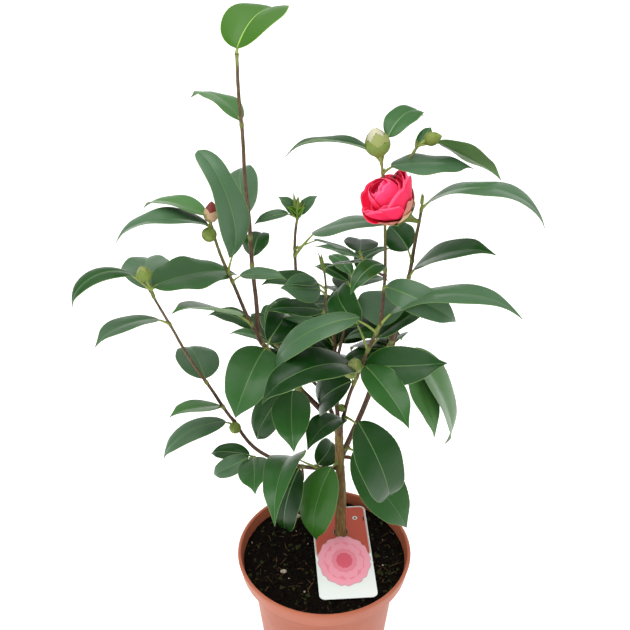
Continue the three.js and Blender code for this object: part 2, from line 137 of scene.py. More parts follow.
# ---------- leaves ----------
# Each leaf leaves its limb at a share of the limb's length, on a stalk. Its blade's chord has a
# heading (degrees round from +X), a rise, a length and a width. `lean` tips its upper face from
# level towards the front, or, as a pair, by how much and towards which heading. `droop` is the
# angle that the midrib turns through from foot to tip. A blunt leaf (1) has a broad, rounded tip.
# Most of these rows weren't chosen by hand. A separate program fitted them to the outlines of the
# leaves in the photograph and wrote them here, rounded; the others were edited by hand afterwards.
Leaf = namedtuple("Leaf", "at stalk heading rise length width lean droop tone blunt", defaults=(0,))
LEAVES = {
    "leader": [
        Leaf(1.00, 3, 56, 10, 51, 46, (52, -131), 87, "young"),
        Leaf(0.77, 3, 137, 3, 50, 27, (-18, -106), 62, "light"),
        Leaf(0.28, 6, 78, 6, 30, 20, (-9, -80), 58, "dark"),
        Leaf(0.02, 6, 165, 8, 38, 17, 7, 44, "dark"),
        Leaf(0.38, 16, 95, 11, 58, 31, (30, -148), 35, "grey"),
    ],
    "shoot_left": [
        Leaf(1.00, 4, 150, -9, 54, 23, -10, 41, "light"),
        Leaf(0.94, 3, -174, -9, 65, 28, -7, 64, "grey"),
        Leaf(0.59, 22, 168, 77, 83, 25, 12, 108, "grey", 1),
        Leaf(0.17, 15, -136, 26, 69, 30, (-17, -85), 12, "light"),
        Leaf(0.52, 12, -17, 4, 35, 15, 6, 12, "grey"),
    ],
    "shoot_low_left": [
        Leaf(1.00, 20, -149, -15, 47, 21, -5, 103, "dark"),
        Leaf(0.96, 5, 100, -9, 63, 36, (-12, -72), 12, "grey"),
        Leaf(1.00, 3, 31, -10, 68, 46, 0, 17, "mid"),
        Leaf(0.77, 12, -134, 3, 55, 24, -11, 32, "grey"),
        Leaf(0.33, 3, 113, -1, 46, 34, (-18, -94), 51, "grey"),
        Leaf(0.13, 3, -139, 16, 49, 22, -9, 12, "light"),
    ],
    "bough_low_left": [
        Leaf(0.96, 11, -161, -26, 58, 25, -1, 67, "grey"),
        Leaf(0.16, 24, -101, 6, 87, 29, (44, -117), 105, "mid"),
        Leaf(0.28, 3, -123, -75, 60, 28, -1, 105, "deep"),
        Leaf(0.16, 3, 71, -3, 35, 22, 64, 55, "dark"),
    ],
    "twig_low_left": [
        Leaf(0.97, 4, 163, -12, 35, 16, 21, 47, "dark"),
        Leaf(0.97, 6, 179, -33, 34, 16, 49, 69, "grey"),
        Leaf(0.95, 4, -85, 6, 49, 27, (44, -97), 28, "mid"),
    ],
    "bough_left": [
        Leaf(0.91, 3, -114, -30, 60, 37, (35, -86), 89, "mid"),
        Leaf(0.91, 6, 82, -12, 49, 28, 69, 105, "deep"),
        Leaf(0.53, 12, -173, -65, 54, 28, (21, -97), 41, "dark"),
        Leaf(0.52, 15, -88, -19, 55, 30, 78, 18, "mid"),
    ],
    "bough_centre": [
        Leaf(0.99, 9, -171, -16, 27, 11, 14, 13, "grey"),
        Leaf(0.81, 26, -16, 13, 69, 32, -6, 34, "grey"),
        Leaf(0.84, 17, 4, -27, 40, 16, -17, 12, "grey"),
        Leaf(0.99, 3, 172, 46, 20, 10, 30, 30, "grey"),
        Leaf(0.99, 4, 8, 46, 20, 10, 30, 20, "grey"),
        Leaf(0.99, 2, -55, 52, 15, 6, 40, 25, "young"),
        Leaf(0.99, 2, -140, 50, 15, 6, 40, 25, "young"),
    ],
    "shoot_small": [
        Leaf(0.42, 3, -157, 13, 49, 19, 17, 27, "dark"),
        Leaf(0.26, 4, -173, 10, 31, 12, (88, -138), 12, "grey"),
        Leaf(0.97, 4, -20, 14, 47, 17, -20, 12, "dark"),
        Leaf(0.71, 12, -159, 9, 46, 21, 6, 17, "dark"),
        Leaf(0.64, 11, -146, 20, 39, 24, 43, 12, "grey"),
    ],
    "bough_front_right": [
        Leaf(1.00, 13, -27, 14, 101, 30, -2, 67, "grey"),
        Leaf(0.83, 11, 23, 20, 54, 24, -12, 12, "dark"),
        Leaf(0.96, 3, 78, 0, 50, 37, -2, 16, "grey"),
        Leaf(0.81, 22, 106, 10, 43, 28, (81, -96), 86, "dark"),
        Leaf(0.94, 22, 177, -42, 81, 24, 15, 94, "grey"),
        Leaf(0.60, 12, -152, -4, 78, 35, 8, 105, "deep"),
        Leaf(0.69, 7, -58, -20, 61, 27, 20, 36, "mid"),
        Leaf(0.67, 7, -17, 14, 64, 30, 47, 24, "dark"),
        Leaf(0.22, 3, -124, 1, 49, 25, (-5, -86), 58, "dark"),
        Leaf(0.25, 19, -16, -72, 78, 40, (20, -86), 92, "dark"),
        Leaf(0.56, 3, 130, -57, 50, 29, 30, 105, "deep"),
    ],
    "shoot_front_right": [
        Leaf(0.33, 6, -131, -11, 38, 16, 18, 105, "dark"),
        Leaf(0.22, 3, -20, -19, 57, 23, 53, 105, "grey"),
        Leaf(1.00, 9, 174, -6, 62, 26, -17, 57, "dark"),
        Leaf(1.00, 18, 50, 3, 41, 21, (14, -100), 85, "mid"),
        Leaf(0.93, 8, 14, -9, 63, 31, 2, 12, "grey"),
    ],
    "twig_centre": [
        Leaf(0.87, 3, 177, 13, 35, 14, -11, 12, "grey"),
        Leaf(0.99, 4, 88, -14, 34, 26, (28, -84), 12, "dark"),
    ],
    "twig_top_right": [
        Leaf(0.80, 5, 50, 30, 18, 9, 30, 50, "mid"),
        Leaf(0.94, 14, -6, -31, 54, 25, (56, 170), 12, "grey"),
    ],
    "shoot_right": [
        Leaf(0.95, 8, -19, -4, 84, 34, -10, 88, "grey"),
        Leaf(0.46, 10, -30, 26, 70, 31, 7, 49, "dark"),
        Leaf(0.58, 9, 114, 7, 32, 24, (39, -119), 12, "dark"),
    ],
    "bough_right": [
        Leaf(0.94, 18, -54, -57, 71, 29, -11, 12, "light"),
        Leaf(0.92, 19, -16, -70, 96, 43, (5, -12), 50, "light"),
        Leaf(0.10, 8, -30, -52, 84, 42, 20, 30, "mid"),
    ],
    "trunk": [
        Leaf(0.71, 12, -133, -76, 74, 36, 4, 33, "fresh"),
    ],
}

# The far side, grown by rule: sprays of leaves whose headings run from `first` to `last`, in tiers
# down the last `share` of the limb.
Spray = namedtuple("Spray", "first last rise tiers share length")
SPRAYS = {
    "bough_back": Spray(20, 160, -4, 3, 0.6, 56),
    "shoot_back_left": Spray(60, 160, -10, 3, 0.6, 46),
    "shoot_back_right": Spray(70, 158, -14, 3, 0.6, 44),
    "shoot_back_high": Spray(35, 150, -26, 2, 0.5, 44),
}
SPRAY_LEAVES = 4  # in each tier
# Mostly deep and dark: the far side's leaves are coloured darker as painted shade for the plant's shaded
# inside.
SPRAY_TONES = ("dark", "deep", "mid", "dark", "deep")

STATIONS = 46  # rows of points along a blade
BLADE = Table(
    thickness=0.42, rib=0.5, margin=0.4, fold=13, curl=0.16, wave=0.05,
    veins=9, vein_relief=0.16, tooth=0.005, tip_hook=22, bend=0.05, least_half=0.28,
    groove=0.3, groove_width=0.9, keel=0.5, keel_width=0.8,  # over the midrib and under it
)
COLUMNS = (0, 0.2, 0.45, 0.72)  # shares of the half width, from the rib to the margin
# A stalk's radius goes by the width of its blade, and its end lies `inset` off the midrib.
STALK = Table(least=0.45, per_width=0.018, most=1.05, inset=0.35)
AXIL_BUD = Table(length=4.2, radius=0.95)

# The gathered pieces of leaves: the limbs they grow on, and the CAD masses they stand for.
ZONES = {
    "leaves_left_side": (
        ("leader", "shoot_left", "shoot_low_left", "bough_low_left", "twig_low_left"),
        ("leaves_top", "leaves_leader", "leaves_left_crest", "leaves_left_blade", "leaves_left_inner",
         "leaves_leader_low", "leaves_far_left", "leaves_left_outer", "leaves_left_mid",
         "leaves_left_low", "leaves_foot_left"),
    ),
    "leaves_middle": (
        ("bough_left", "bough_centre", "shoot_small", "trunk"),
        ("leaves_fork", "leaves_centre_high", "leaves_centre", "leaves_under_fork",
         "leaves_foot_front_left", "leaves_foot_front"),
    ),
    "leaves_right_side": (
        ("bough_front_right", "shoot_front_right", "twig_centre", "twig_top_right", "shoot_right",
         "bough_right"),
        ("leaves_front_node", "leaves_right_upper", "leaves_right_shoulder", "leaves_arch",
         "leaves_bud_top", "leaves_top_right", "leaves_front_mid", "leaves_right_hanging",
         "leaves_front_low", "leaves_foot_right"),
    ),
}
BACK_MASSES = (
    "leaves_back", "leaves_back_low", "leaves_back_left", "leaves_back_right", "leaves_back_high",
)

# ---------- buds and flower ----------
# Where the buds are: limb, share of its length, heading and rise of the bud, length of its stalk,
# its own length and width, and its skins.
Bud = namedtuple("Bud", "limb at heading rise stalk length width skins")
BUD_SCALES = 8
SPIKE_SCALES = 7
BUD_BLUNTNESS = 0.9
GREEN = ("bud_green", "bud_olive", "bud_green")
CREAM = ("bud_cream", "bud_green", "bud_cream")
BUDS = [
    Bud("shoot_front_right", 1.0, 190, 76, 6, 21, 17, ("bud_pale", "bud_green", "bud_cream")),
    Bud("twig_top_right", 0.98, 5, 14, 3, 13, 9.5, GREEN),
    Bud("shoot_low_left", 0.99, 165, 74, 9, 12, 11, ("bud_cream", "bud_green", "bud_green")),
    Bud("shoot_left", 0.95, 80, 66, 2, 15, 10, ("bud_red", "bud_blush", "bud_red")),
    Bud("shoot_left", 0.86, 230, 40, 2, 12, 10, GREEN),
    Bud("bough_low_left", 0.95, -100, 20, 1, 11, 9, GREEN),
    Bud("bough_front_right", 0.70, -150, 10, 0, 13, 11, CREAM),
    Bud("bough_front_right", 0.63, 190, -10, 2, 9, 8, CREAM),
    Bud("bough_front_right", 0.30, 200, 50, 1, 8, 6, GREEN),
]
Spike = namedtuple("Spike", "limb at heading rise length width")
SPIKES = [
    Spike("shoot_small", 1.0, 170, 80, 15, 4.5),
    Spike("shoot_right", 1.0, 60, 78, 9, 4),
    Spike("bough_centre", 1.0, 200, 88, 21, 9),
    Spike("bough_centre", 1.0, 20, 70, 16, 7),
    Spike("leader", 0.33, 130, 60, 6, 3.2),
    Spike("twig_top_right", 0.86, 80, 80, 8, 3),
]

# A half-open flower: petals cupped round its axis from a foot that sits in the calyx.
FLOWER = Table(
    limb="shoot_right", at=0.87, foot=(53, 8, 455), heading=193, rise=50,
    radius=18, stretch=1.2,  # of the cup, along its axis
    heart=1.5, heart_heading=-50,  # the closed heart stands to one side
    sepals=4,  # in each row of the calyx
    neck_radii=(1.5, 1.6, 1.8, 2.2, 2.8, 3.6, 4.5, 5.4, 6.2, 6.4),  # from the shoot to the calyx
)
# From outside in: how many petals, radius (share of the flower's), half width (degrees), how far
# round the cup they close (degrees), how far up they start (mm), how far their tips lean out
# (share of the radius), and their skin.
PetalRow = namedtuple("PetalRow", "count size spread close up lean skin")
PETALS = [
    PetalRow(5, 1.00, 50, 98, 0.0, 0.16, "petal"),
    PetalRow(5, 0.90, 48, 94, 2.0, 0.10, "petal_deep"),
    PetalRow(4, 0.78, 52, 92, 4.0, 0.02, "petal_deep"),
]
HEART = [
    PetalRow(3, 0.58, 72, 146, 8.5, 0.0, "petal_light"),
    PetalRow(3, 0.47, 76, 152, 11.0, 0.0, "petal"),
    PetalRow(2, 0.34, 88, 160, 13.5, 0.0, "petal_light"),
]
# The calyx, from outside in: how far its scales reach round the cup (degrees), how far they stand
# off the petals (mm), and their skin.
SEPALS = [(42, 2.5, "bud_green"), (58, 1.9, "bud_peach"), (74, 1.2, "sepal_rose")]

# ---------- colours ----------
# Linear base colours of the leaves' upper faces.
TONES = {
    # deep is a darker copy of the leaves' green: painted shade, for leaves in the shaded hollows inside the
    # plant and on its far side.
    "deep": (0.003, 0.030, 0.002), "dark": (0.008, 0.052, 0.005), "mid": (0.021, 0.088, 0.015),
    # grey is a greyed green for leaves that catch a sheen from the light overhead: a painted sheen in place
    # of their own darker green.
    "light": (0.052, 0.150, 0.034), "grey": (0.052, 0.116, 0.052), "fresh": (0.030, 0.118, 0.012),
    "young": (0.036, 0.120, 0.006),
}
# Base colour, and the lowest and highest roughness.
LEAF_PARTS = {
    "leaf_rib": ((0.075, 0.165, 0.040), 0.4, 0.5),
    "leaf_rib_young": ((0.23, 0.40, 0.06), 0.4, 0.5),
    # The margin's paler green is partly the leaf's own pale edge and partly painted highlight, for the
    # light that the thin rim catches.
    "leaf_margin": ((0.10, 0.18, 0.04), 0.35, 0.5),
    "leaf_under": ((0.09, 0.18, 0.05), 0.45, 0.62),
    "leaf_under_young": ((0.20, 0.36, 0.05), 0.45, 0.6),
    "leaf_stalk": ((0.22, 0.28, 0.05), 0.4, 0.55),
}
# Rib, margin and lower face.
GROWN_LEAF = ("leaf_rib", "leaf_margin", "leaf_under")
YOUNG_LEAF = ("leaf_rib_young", "leaf_rib_young", "leaf_under_young")
BUD_SKINS = {
    "bud_green": (0.15, 0.21, 0.038), "bud_olive": (0.15, 0.19, 0.032), "bud_cream": (0.24, 0.27, 0.085),
    "bud_peach": (0.66, 0.42, 0.24), "bud_pale": (0.43, 0.42, 0.29), "bud_blush": (0.46, 0.30, 0.18),
    "sepal_rose": (0.58, 0.21, 0.15),
}
PETAL_SKINS = {
    "petal": (0.93, 0.020, 0.095), "petal_deep": (0.90, 0.012, 0.068),
    "petal_light": (0.95, 0.045, 0.150), "petal_rim": (0.95, 0.085, 0.200),
}
# Colours in the hollows of the grain and on it, and how fine the grain is.
EARTHS = {
    "soil": ((0.001, 0.0007, 0.0005), (0.006, 0.0035, 0.0025), 260),
    "crumb_dark": ((0.0015, 0.001, 0.0008), (0.010, 0.006, 0.004), 600),
    "crumb_mossy": ((0.008, 0.011, 0.003), (0.04, 0.045, 0.014), 600),
    "crumb_pale": ((0.22, 0.18, 0.13), (0.5, 0.44, 0.36), 600),
    "bark_fibre": ((0.035, 0.018, 0.008), (0.12, 0.07, 0.035), 500),
    "dry_wood": ((0.10, 0.035, 0.02), (0.24, 0.10, 0.055), 700),
}
CARDS = {
    "card_white": (0.74, 0.77, 0.75), "print_orange": (0.42, 0.055, 0.025),
    "print_border": (0.52, 0.38, 0.38), "print_pale": (0.80, 0.31, 0.39), "print_pink": (0.76, 0.22, 0.29),
    "print_deep": (0.66, 0.10, 0.15), "print_shade": (0.62, 0.34, 0.38),
}


# ---------- vectors and curves ----------
def unit(v):
    return v / np.linalg.norm(v)


def square_to(axis, v):
    """The part of v that is square to a unit axis, as a unit vector."""
    return unit(v - axis * v.dot(axis))


def direction(heading, rise):
    heading, rise = math.radians(heading), math.radians(rise)
    level = math.cos(rise)
    return np.array([level * math.cos(heading), level * math.sin(heading), math.sin(rise)])


def smoothstep(low, high, x):
    t = np.clip((x - low) / (high - low), 0, 1)
    return t * t * (3 - 2 * t)


def full_turn(count):
    """Angles evenly spaced round a circle."""
    return np.linspace(0, 2 * math.pi, count, endpoint=False)


def ring(angle, radius, height=0.0):
    """Points round Z."""
    return np.stack([radius * np.cos(angle), radius * np.sin(angle), np.full(len(angle), height)], axis=1)


def turned(points, angle):
    """Points turned round Z."""
    x, y, z = points.T
    cos, sin = math.cos(angle), math.sin(angle)
    return np.stack([x * cos - y * sin, x * sin + y * cos, z], axis=1)


class Curve:
    """A curve whose middle stands off the straight line from foot to tip by `bow`."""

    def __init__(self, foot, tip, bow=(0, 0, 0)):
        foot, tip, bow = (np.array(p, float) for p in (foot, tip, bow))
        control = (foot + tip) / 2 + 2 * bow
        t = np.linspace(0, 1, 97)[:, None]
        self.points = (1 - t) ** 2 * foot + 2 * t * (1 - t) * control + t ** 2 * tip
        steps = np.linalg.norm(np.diff(self.points, axis=0), axis=1)
        self.length = steps.sum()
        self.share = np.concatenate([[0], np.cumsum(steps)]) / self.length

    def at(self, s):
        return np.stack([np.interp(s, self.share, self.points[:, k]) for k in range(3)], axis=-1)

    def spaced(self, count):
        return self.at(np.linspace(0, 1, count))

    def tangent(self, s):
        return unit(self.at(min(1, s + 0.02)) - self.at(max(0, s - 0.02)))


curves = {"trunk": Curve(TRUNK.foot, TRUNK.tip, TRUNK.bow)}
for limb_name, limb in ALL_LIMBS.items():
    curves[limb_name] = Curve(curves[limb.on].at(limb.at), limb.tip, limb.bow)


def limb_radius(name, s):
    thick, thin = TRUNK.diameters if name == "trunk" else ALL_LIMBS[name].diameters
    return (thick + (thin - thick) * s) / 2


# ---------- gathering meshes into pieces ----------
class Heap:
    """Closed shells gathered into one piece. Each face carries the name of its material."""

    def __init__(self):
        self.points, self.faces, self.finishes, self.values = [], [], [], []
        self.count = 0

    def add(self, points, faces, finish, value=0.0):
        """`finish` is one name or one for each face; `value` is kept on each point."""
        points = np.asarray(points, float).reshape(-1, 3)
        if signed_volume(points, faces) < 0:
            faces = [face[::-1] for face in faces]
        self.points.append(points)
        self.faces += [tuple(i + self.count for i in face) for face in faces]
        self.finishes += per_face(finish, faces)
        self.values.append(np.broadcast_to(value, (len(points),)))
        self.count += len(points)

    def mesh(self, name):
        mesh = bpy.data.meshes.new(name)
        mesh.from_pydata((np.concatenate(self.points) * MM).tolist(), [], self.faces)
        return mesh

    def piece(self, name, slot=None, sharp=55, replaces=()):
        """The whole heap as one piece, with edges sharper than `sharp` degrees left hard."""
        mesh = self.mesh(name)
        names = sorted(set(self.finishes))
        for finish in names:
            mesh.materials.append(MATERIALS[finish])
        mesh.polygons.foreach_set("material_index", [names.index(f) for f in self.finishes])
        age = mesh.attributes.new("age", "FLOAT", "POINT")
        age.data.foreach_set("value", np.concatenate(self.values))
        mesh.shade_smooth()
        mesh.set_sharp_from_angle(angle=math.radians(sharp))
        mesh.update()
        piece = placed(name, mesh)
        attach(piece, "root")
        if replaces:
            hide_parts(*replaces)
        return piece


def per_face(finish, faces):
    return [finish] * len(faces) if isinstance(finish, str) else finish


def placed(name, data):
    """A new object in the scene, with its origin at the pot's foot."""
    item = bpy.data.objects.new(name, data)
    bpy.context.scene.collection.objects.link(item)
    return item


def as_mesh(item):
    """A new mesh of an object as it looks with its modifiers or its curve filled."""
    bpy.context.view_layer.update()
    return bpy.data.meshes.new_from_object(item.evaluated_get(bpy.context.evaluated_depsgraph_get()))


def signed_volume(points, faces):
    """Six times the volume inside closed faces, and below 0 where they face inward."""
    fans = ((face[0], face[i], face[i + 1]) for face in faces for i in range(1, len(face) - 1))
    return sum(np.dot(points[a], np.cross(points[b], points[c])) for a, b, c in fans)


def tube_faces(stations, sides):
    faces = [tuple(range(sides))[::-1], tuple(range((stations - 1) * sides, stations * sides))]
    for i in range(stations - 1):
        for j in range(sides):
            k = (j + 1) % sides
            faces.append((i * sides + j, i * sides + k, (i + 1) * sides + k, (i + 1) * sides + j))
    return faces


def sweep(path, radii, sides):
    """Rings of points round a path, with the plane of each ring square to it. radii: (rings, sides)."""
    along = np.gradient(path, axis=0)
    along /= np.linalg.norm(along, axis=1, keepdims=True)
    side = unit(np.cross(along[0], [0.31, 0.95, 0.05]))
    angle = full_turn(sides)[:, None]
    rings = []
    for point, ahead, radius in zip(path, along, radii):
        side = square_to(ahead, side)
        out = np.cross(ahead, side)
        rings.append(point + radius[:, None] * (np.cos(angle) * side + np.sin(angle) * out))
    return np.concatenate(rings)


def add_tube(heap, path, radii, sides, finish):
    radii = np.asarray(radii, float)
    if radii.ndim == 1:
        radii = np.repeat(radii[:, None], sides, axis=1)
    heap.add(sweep(path, radii, sides), tube_faces(len(path), sides), finish)


def shell_faces(rows, columns):
    """Faces of a thin closed shell: two grids of rows x columns points, one under the other."""
    under = rows * columns
    top, bottom = [], []
    for i in range(rows - 1):
        for j in range(columns - 1):
            a = i * columns + j
            quad = (a, a + 1, a + columns + 1, a + columns)
            top.append(quad)
            bottom.append(tuple(p + under for p in quad[::-1]))
    edge = list(range(columns))
    edge += [i * columns + columns - 1 for i in range(1, rows)]
    edge += [(rows - 1) * columns + j for j in range(columns - 2, -1, -1)]
    edge += [i * columns for i in range(rows - 2, 0, -1)]
    rim = [(b, a, a + under, b + under) for a, b in zip(edge, edge[1:] + edge[:1])]
    return top, bottom, rim


def add_shell(heap, outer, inner, skin, under=None, rim=None):
    """A thin closed shell between two grids of points (rows, columns, 3), with a skin for each side."""
    parts = shell_faces(*outer.shape[:2])
    finishes = []
    for faces, finish in zip(parts, (skin, under or skin, rim or skin)):
        finishes += per_face(finish, faces)
    heap.add(np.concatenate([outer, inner]), sum(parts, []), finishes)


def grid(rows, columns):
    """Shares from foot to tip, as a column, and from -1 to 1 across, as a row."""
    return np.linspace(0, 1, rows)[:, None], np.linspace(-1, 1, columns)[None, :]


def round_axis(foot, axes, height, radius, angle):
    """A grid of points round an axis, from their heights along it, distances from it and angles."""
    axis, side, out = axes
    points = foot + height[..., None] * axis
    return points + (radius * np.cos(angle))[..., None] * side + (radius * np.sin(angle))[..., None] * out


# ---------- materials ----------
SOCKETS = {
    "specular": "Specular IOR Level", "subsurface": "Subsurface Weight",
    "subsurface_scale": "Subsurface Scale", "glow": "Emission Color", "glow_strength": "Emission Strength",
}
MATERIALS = {}  # every material made here, by name


class Nodes:
    """The nodes of a material or of the world."""

    def __init__(self, owner):
        owner.use_nodes = True
        self.tree = owner.node_tree

    def feed(self, value, socket):
        """Links a socket to another node's output, or sets it to a number or a colour."""
        if isinstance(value, bpy.types.NodeSocket):
            self.tree.links.new(value, socket)
        elif socket.type == "RGBA":
            socket.default_value = (*value, 1)
        else:
            socket.default_value = value

    def node(self, kind, **inputs):
        """A new node, with its inputs fed by name (an underscore stands for a space)."""
        node = self.tree.nodes.new(kind)
        for name, value in inputs.items():
            self.feed(value, node.inputs[name.replace("_", " ")])
        return node

    def ramp(self, source, *stops):
        """A colour ramp through stops, each a position and a colour or a grey level."""
        node = self.node("ShaderNodeValToRGB", Fac=source)
        elements = node.color_ramp.elements
        while len(elements) < len(stops):
            elements.new(0.5)
        for element, (position, color) in zip(elements, stops):
            element.position = position
            element.color = (*color, 1) if isinstance(color, tuple) else (color, color, color, 1)
        return node.outputs["Color"]


class Finish(Nodes):
    """A material, with short calls for the nodes used here."""

    def __init__(self, name, color, roughness, **inputs):
        MATERIALS[name] = bpy.data.materials.new(name)
        super().__init__(MATERIALS[name])
        self.shader = self.tree.nodes["Principled BSDF"]
        self.feed(color, self.shader.inputs["Base Color"])
        self.feed(roughness, self.shader.inputs["Roughness"])
        for socket, value in inputs.items():
            self.feed(value, self.shader.inputs[SOCKETS[socket]])
        self.place = self.node("ShaderNodeTexCoord").outputs["Object"]

    def noise(self, scale, detail):
        return self.node("ShaderNodeTexNoise", Vector=self.place, Scale=scale, Detail=detail).outputs["Fac"]

    def streaks(self, scales, detail, distortion):
        """Noise drawn out by its own scale along each of X, Y and Z."""
        place = self.node("ShaderNodeMapping", Vector=self.place, Scale=scales).outputs["Vector"]
        noise = self.node("ShaderNodeTexNoise", Vector=place, Scale=1, Detail=detail, Distortion=distortion)
        return noise.outputs["Fac"]

    def cells(self, scale):
        return self.node("ShaderNodeTexVoronoi", Vector=self.place, Scale=scale).outputs["Distance"]

    def age(self):
        node = self.node("ShaderNodeAttribute")
        node.attribute_name = "age"
        return node.outputs["Fac"]

    def mix(self, share, first, second):
        node = self.node("ShaderNodeMix")
        node.data_type = "RGBA"
        for value, number in ((share, 0), (first, 6), (second, 7)):
            self.feed(value, node.inputs[number])
        return node.outputs[2]

    def paint(self, source):
        self.feed(source, self.shader.inputs["Base Color"])

    def surface(self, gloss, low, high, grain, strength, depth):
        """Roughness between low and high by one pattern, and a bump `depth` metres deep by another."""
        rough = self.node("ShaderNodeMapRange", Value=gloss, To_Min=low, To_Max=high)
        self.feed(rough.outputs["Result"], self.shader.inputs["Roughness"])
        bump = self.node("ShaderNodeBump", Height=grain, Strength=strength, Distance=depth)
        self.feed(bump.outputs["Normal"], self.shader.inputs["Normal"])


def leafy(name, color, low, high, **inputs):
    """Leaf, petal and bud skins: one base colour, with a fine uneven gloss and grain."""
    finish = Finish(name, color, high, **inputs)
    finish.surface(finish.noise(160, 4), low, high, finish.noise(150, 3), 0.3, 0.0006)


def grainy(name, low, high, scale):
    """Earth and dry wood: one colour in the hollows of the grain, another on it."""
    finish = Finish(name, high, 0.95, specular=0.05)
    grain = finish.noise(scale, 6)
    finish.paint(finish.ramp(grain, (0.35, low), (0.7, high)))
    finish.surface(grain, 0.75, 1.0, grain, 0.7, 0.0015)


def card(name, color):
    finish = Finish(name, color, 0.35, specular=0.3)
    finish.surface(finish.noise(90, 4), 0.28, 0.42, finish.noise(1400, 2), 0.03, 0.0001)


def old_bark():
    """Tan bark with lengthwise streaks, and rusty and mossy patches."""
    finish = Finish("trunk_bark", (0.16, 0.10, 0.04), 0.8, specular=0.25)
    streaks = finish.streaks((900, 900, 90), 6, 0.6)
    tans = (0.3, (0.09, 0.052, 0.017)), (0.5, (0.18, 0.115, 0.037)), (0.72, (0.30, 0.215, 0.09))
    rust = finish.ramp(finish.noise(70, 3), (0.5, 0.0), (0.72, 0.55))
    moss = finish.ramp(finish.noise(38, 2), (0.52, 0.0), (0.7, 0.5))
    rusty = finish.mix(rust, finish.ramp(streaks, *tans), (0.13, 0.045, 0.02))
    finish.paint(finish.mix(moss, rusty, (0.22, 0.20, 0.06)))
    finish.surface(streaks, 0.6, 0.9, streaks, 0.5, 0.0006)


def young_bark():
    """Red-brown with pale pores, and green where the age value says that the wood is this year's."""
    finish = Finish("shoot_bark", (0.09, 0.042, 0.025), 0.55, specular=0.3)
    streaks = finish.streaks((1100, 1100, 160), 5, 0.4)
    browns = (0.32, (0.040, 0.019, 0.011)), (0.55, (0.095, 0.044, 0.026)), (0.75, (0.19, 0.105, 0.065))
    greens = (0.3, (0.14, 0.17, 0.03)), (0.7, (0.28, 0.32, 0.08))
    skin = finish.mix(finish.age(), finish.ramp(streaks, *browns), finish.ramp(streaks, *greens))
    pores = finish.ramp(finish.cells(520), (0.09, 0.6), (0.2, 0.0))
    finish.paint(finish.mix(pores, skin, (0.28, 0.21, 0.13)))
    finish.surface(streaks, 0.4, 0.72, streaks, 0.35, 0.0004)


def pot_plastic():
    """Moulded terracotta-coloured plastic, a little cloudy, with dusty scuffs that run round it."""
    finish = Finish("terracotta_plastic", (0.37, 0.10, 0.05), 0.45, specular=0.35)
    body = finish.ramp(finish.noise(14, 4), (0.3, (0.34, 0.088, 0.042)), (0.7, (0.40, 0.114, 0.058)))
    scuffs = finish.streaks((60, 60, 420), 5, 0.5)
    dust = finish.ramp(scuffs, (0.6, 0.0), (0.8, 0.22))
    finish.paint(finish.mix(dust, body, (0.48, 0.25, 0.17)))
    finish.surface(finish.noise(60, 5), 0.34, 0.56, finish.noise(900, 2), 0.06, 0.0003)


def make_materials():
    old_bark()
    young_bark()
    pot_plastic()
    for tone, color in TONES.items():
        leafy(f"leaf_{tone}", color, 0.26, 0.42, specular=0.27)
    for name, (color, low, high) in LEAF_PARTS.items():
        leafy(name, color, low, high)
    for name, color in BUD_SKINS.items():
        leafy(name, color, 0.45, 0.6, specular=0.3)
    leafy("bud_red", (0.16, 0.016, 0.013), 0.4, 0.55, specular=0.3)
    for name, color in PETAL_SKINS.items():
        leafy(name, color, 0.5, 0.65, specular=0.2, subsurface=0.15, subsurface_scale=0.002)
    for name, (low, high, scale) in EARTHS.items():
        grainy(name, low, high, scale)
    for name, color in CARDS.items():
        card(name, color)


# ---------- leaves and stalks ----------
def half_widths(s, width, blunt):
    """The outline: widest before the middle, rounded at the foot, drawn out at a tip that isn't blunt."""
    outline = s ** 0.62 * (1 - s) ** 0.88
    outline *= 1 - 0.45 * smoothstep(0.74, 0.97, s)
    rounded = s ** 0.8 * (1 - s ** 5) ** 0.5 * (1 - 0.55 * smoothstep(0.3, 0.75, s))
    outline = (1 - blunt) * outline / outline.max() + blunt * rounded
    outline /= outline.max()
    teeth = 1 + BLADE.tooth * (-1.0) ** np.arange(len(s))
    return np.maximum(width / 2 * outline * teeth, BLADE.least_half)


def midrib(s, length, droop):
    """Distance along the chord, height over it and slope, at each share s of the blade."""
    slope = np.radians(droop) * (0.5 - s) - np.radians(BLADE.tip_hook) * smoothstep(0.7, 1, s)
    step = np.diff(s, prepend=0)
    x = np.cumsum(np.cos(slope) * step)
    z = np.cumsum(np.sin(slope) * step)
    turn = math.atan2(z[-1], x[-1])
    scale = length / math.hypot(x[-1], z[-1])
    along = (x * math.cos(turn) + z * math.sin(turn)) * scale
    height = (z * math.cos(turn) - x * math.sin(turn)) * scale
    return along, height, slope - turn


def facing(chord, lean):
    """The direction of the upper face, square to the chord."""
    tip_over, towards = lean if isinstance(lean, tuple) else (lean, -90)
    return square_to(chord, direction(towards, 90 - tip_over))


def blade_columns(s, half):
    """How far each column of points stands to the side of the midrib, at each share of the blade."""
    rib = np.minimum(BLADE.rib * (1.15 - s), half * 0.4)
    reach = [rib + (half - rib) * column for column in COLUMNS]
    reach += [np.maximum(half - BLADE.margin, rib + (half - rib) * 0.85), half]
    reach = np.stack(reach, axis=1)
    return np.concatenate([-reach[:, ::-1], reach], axis=1)


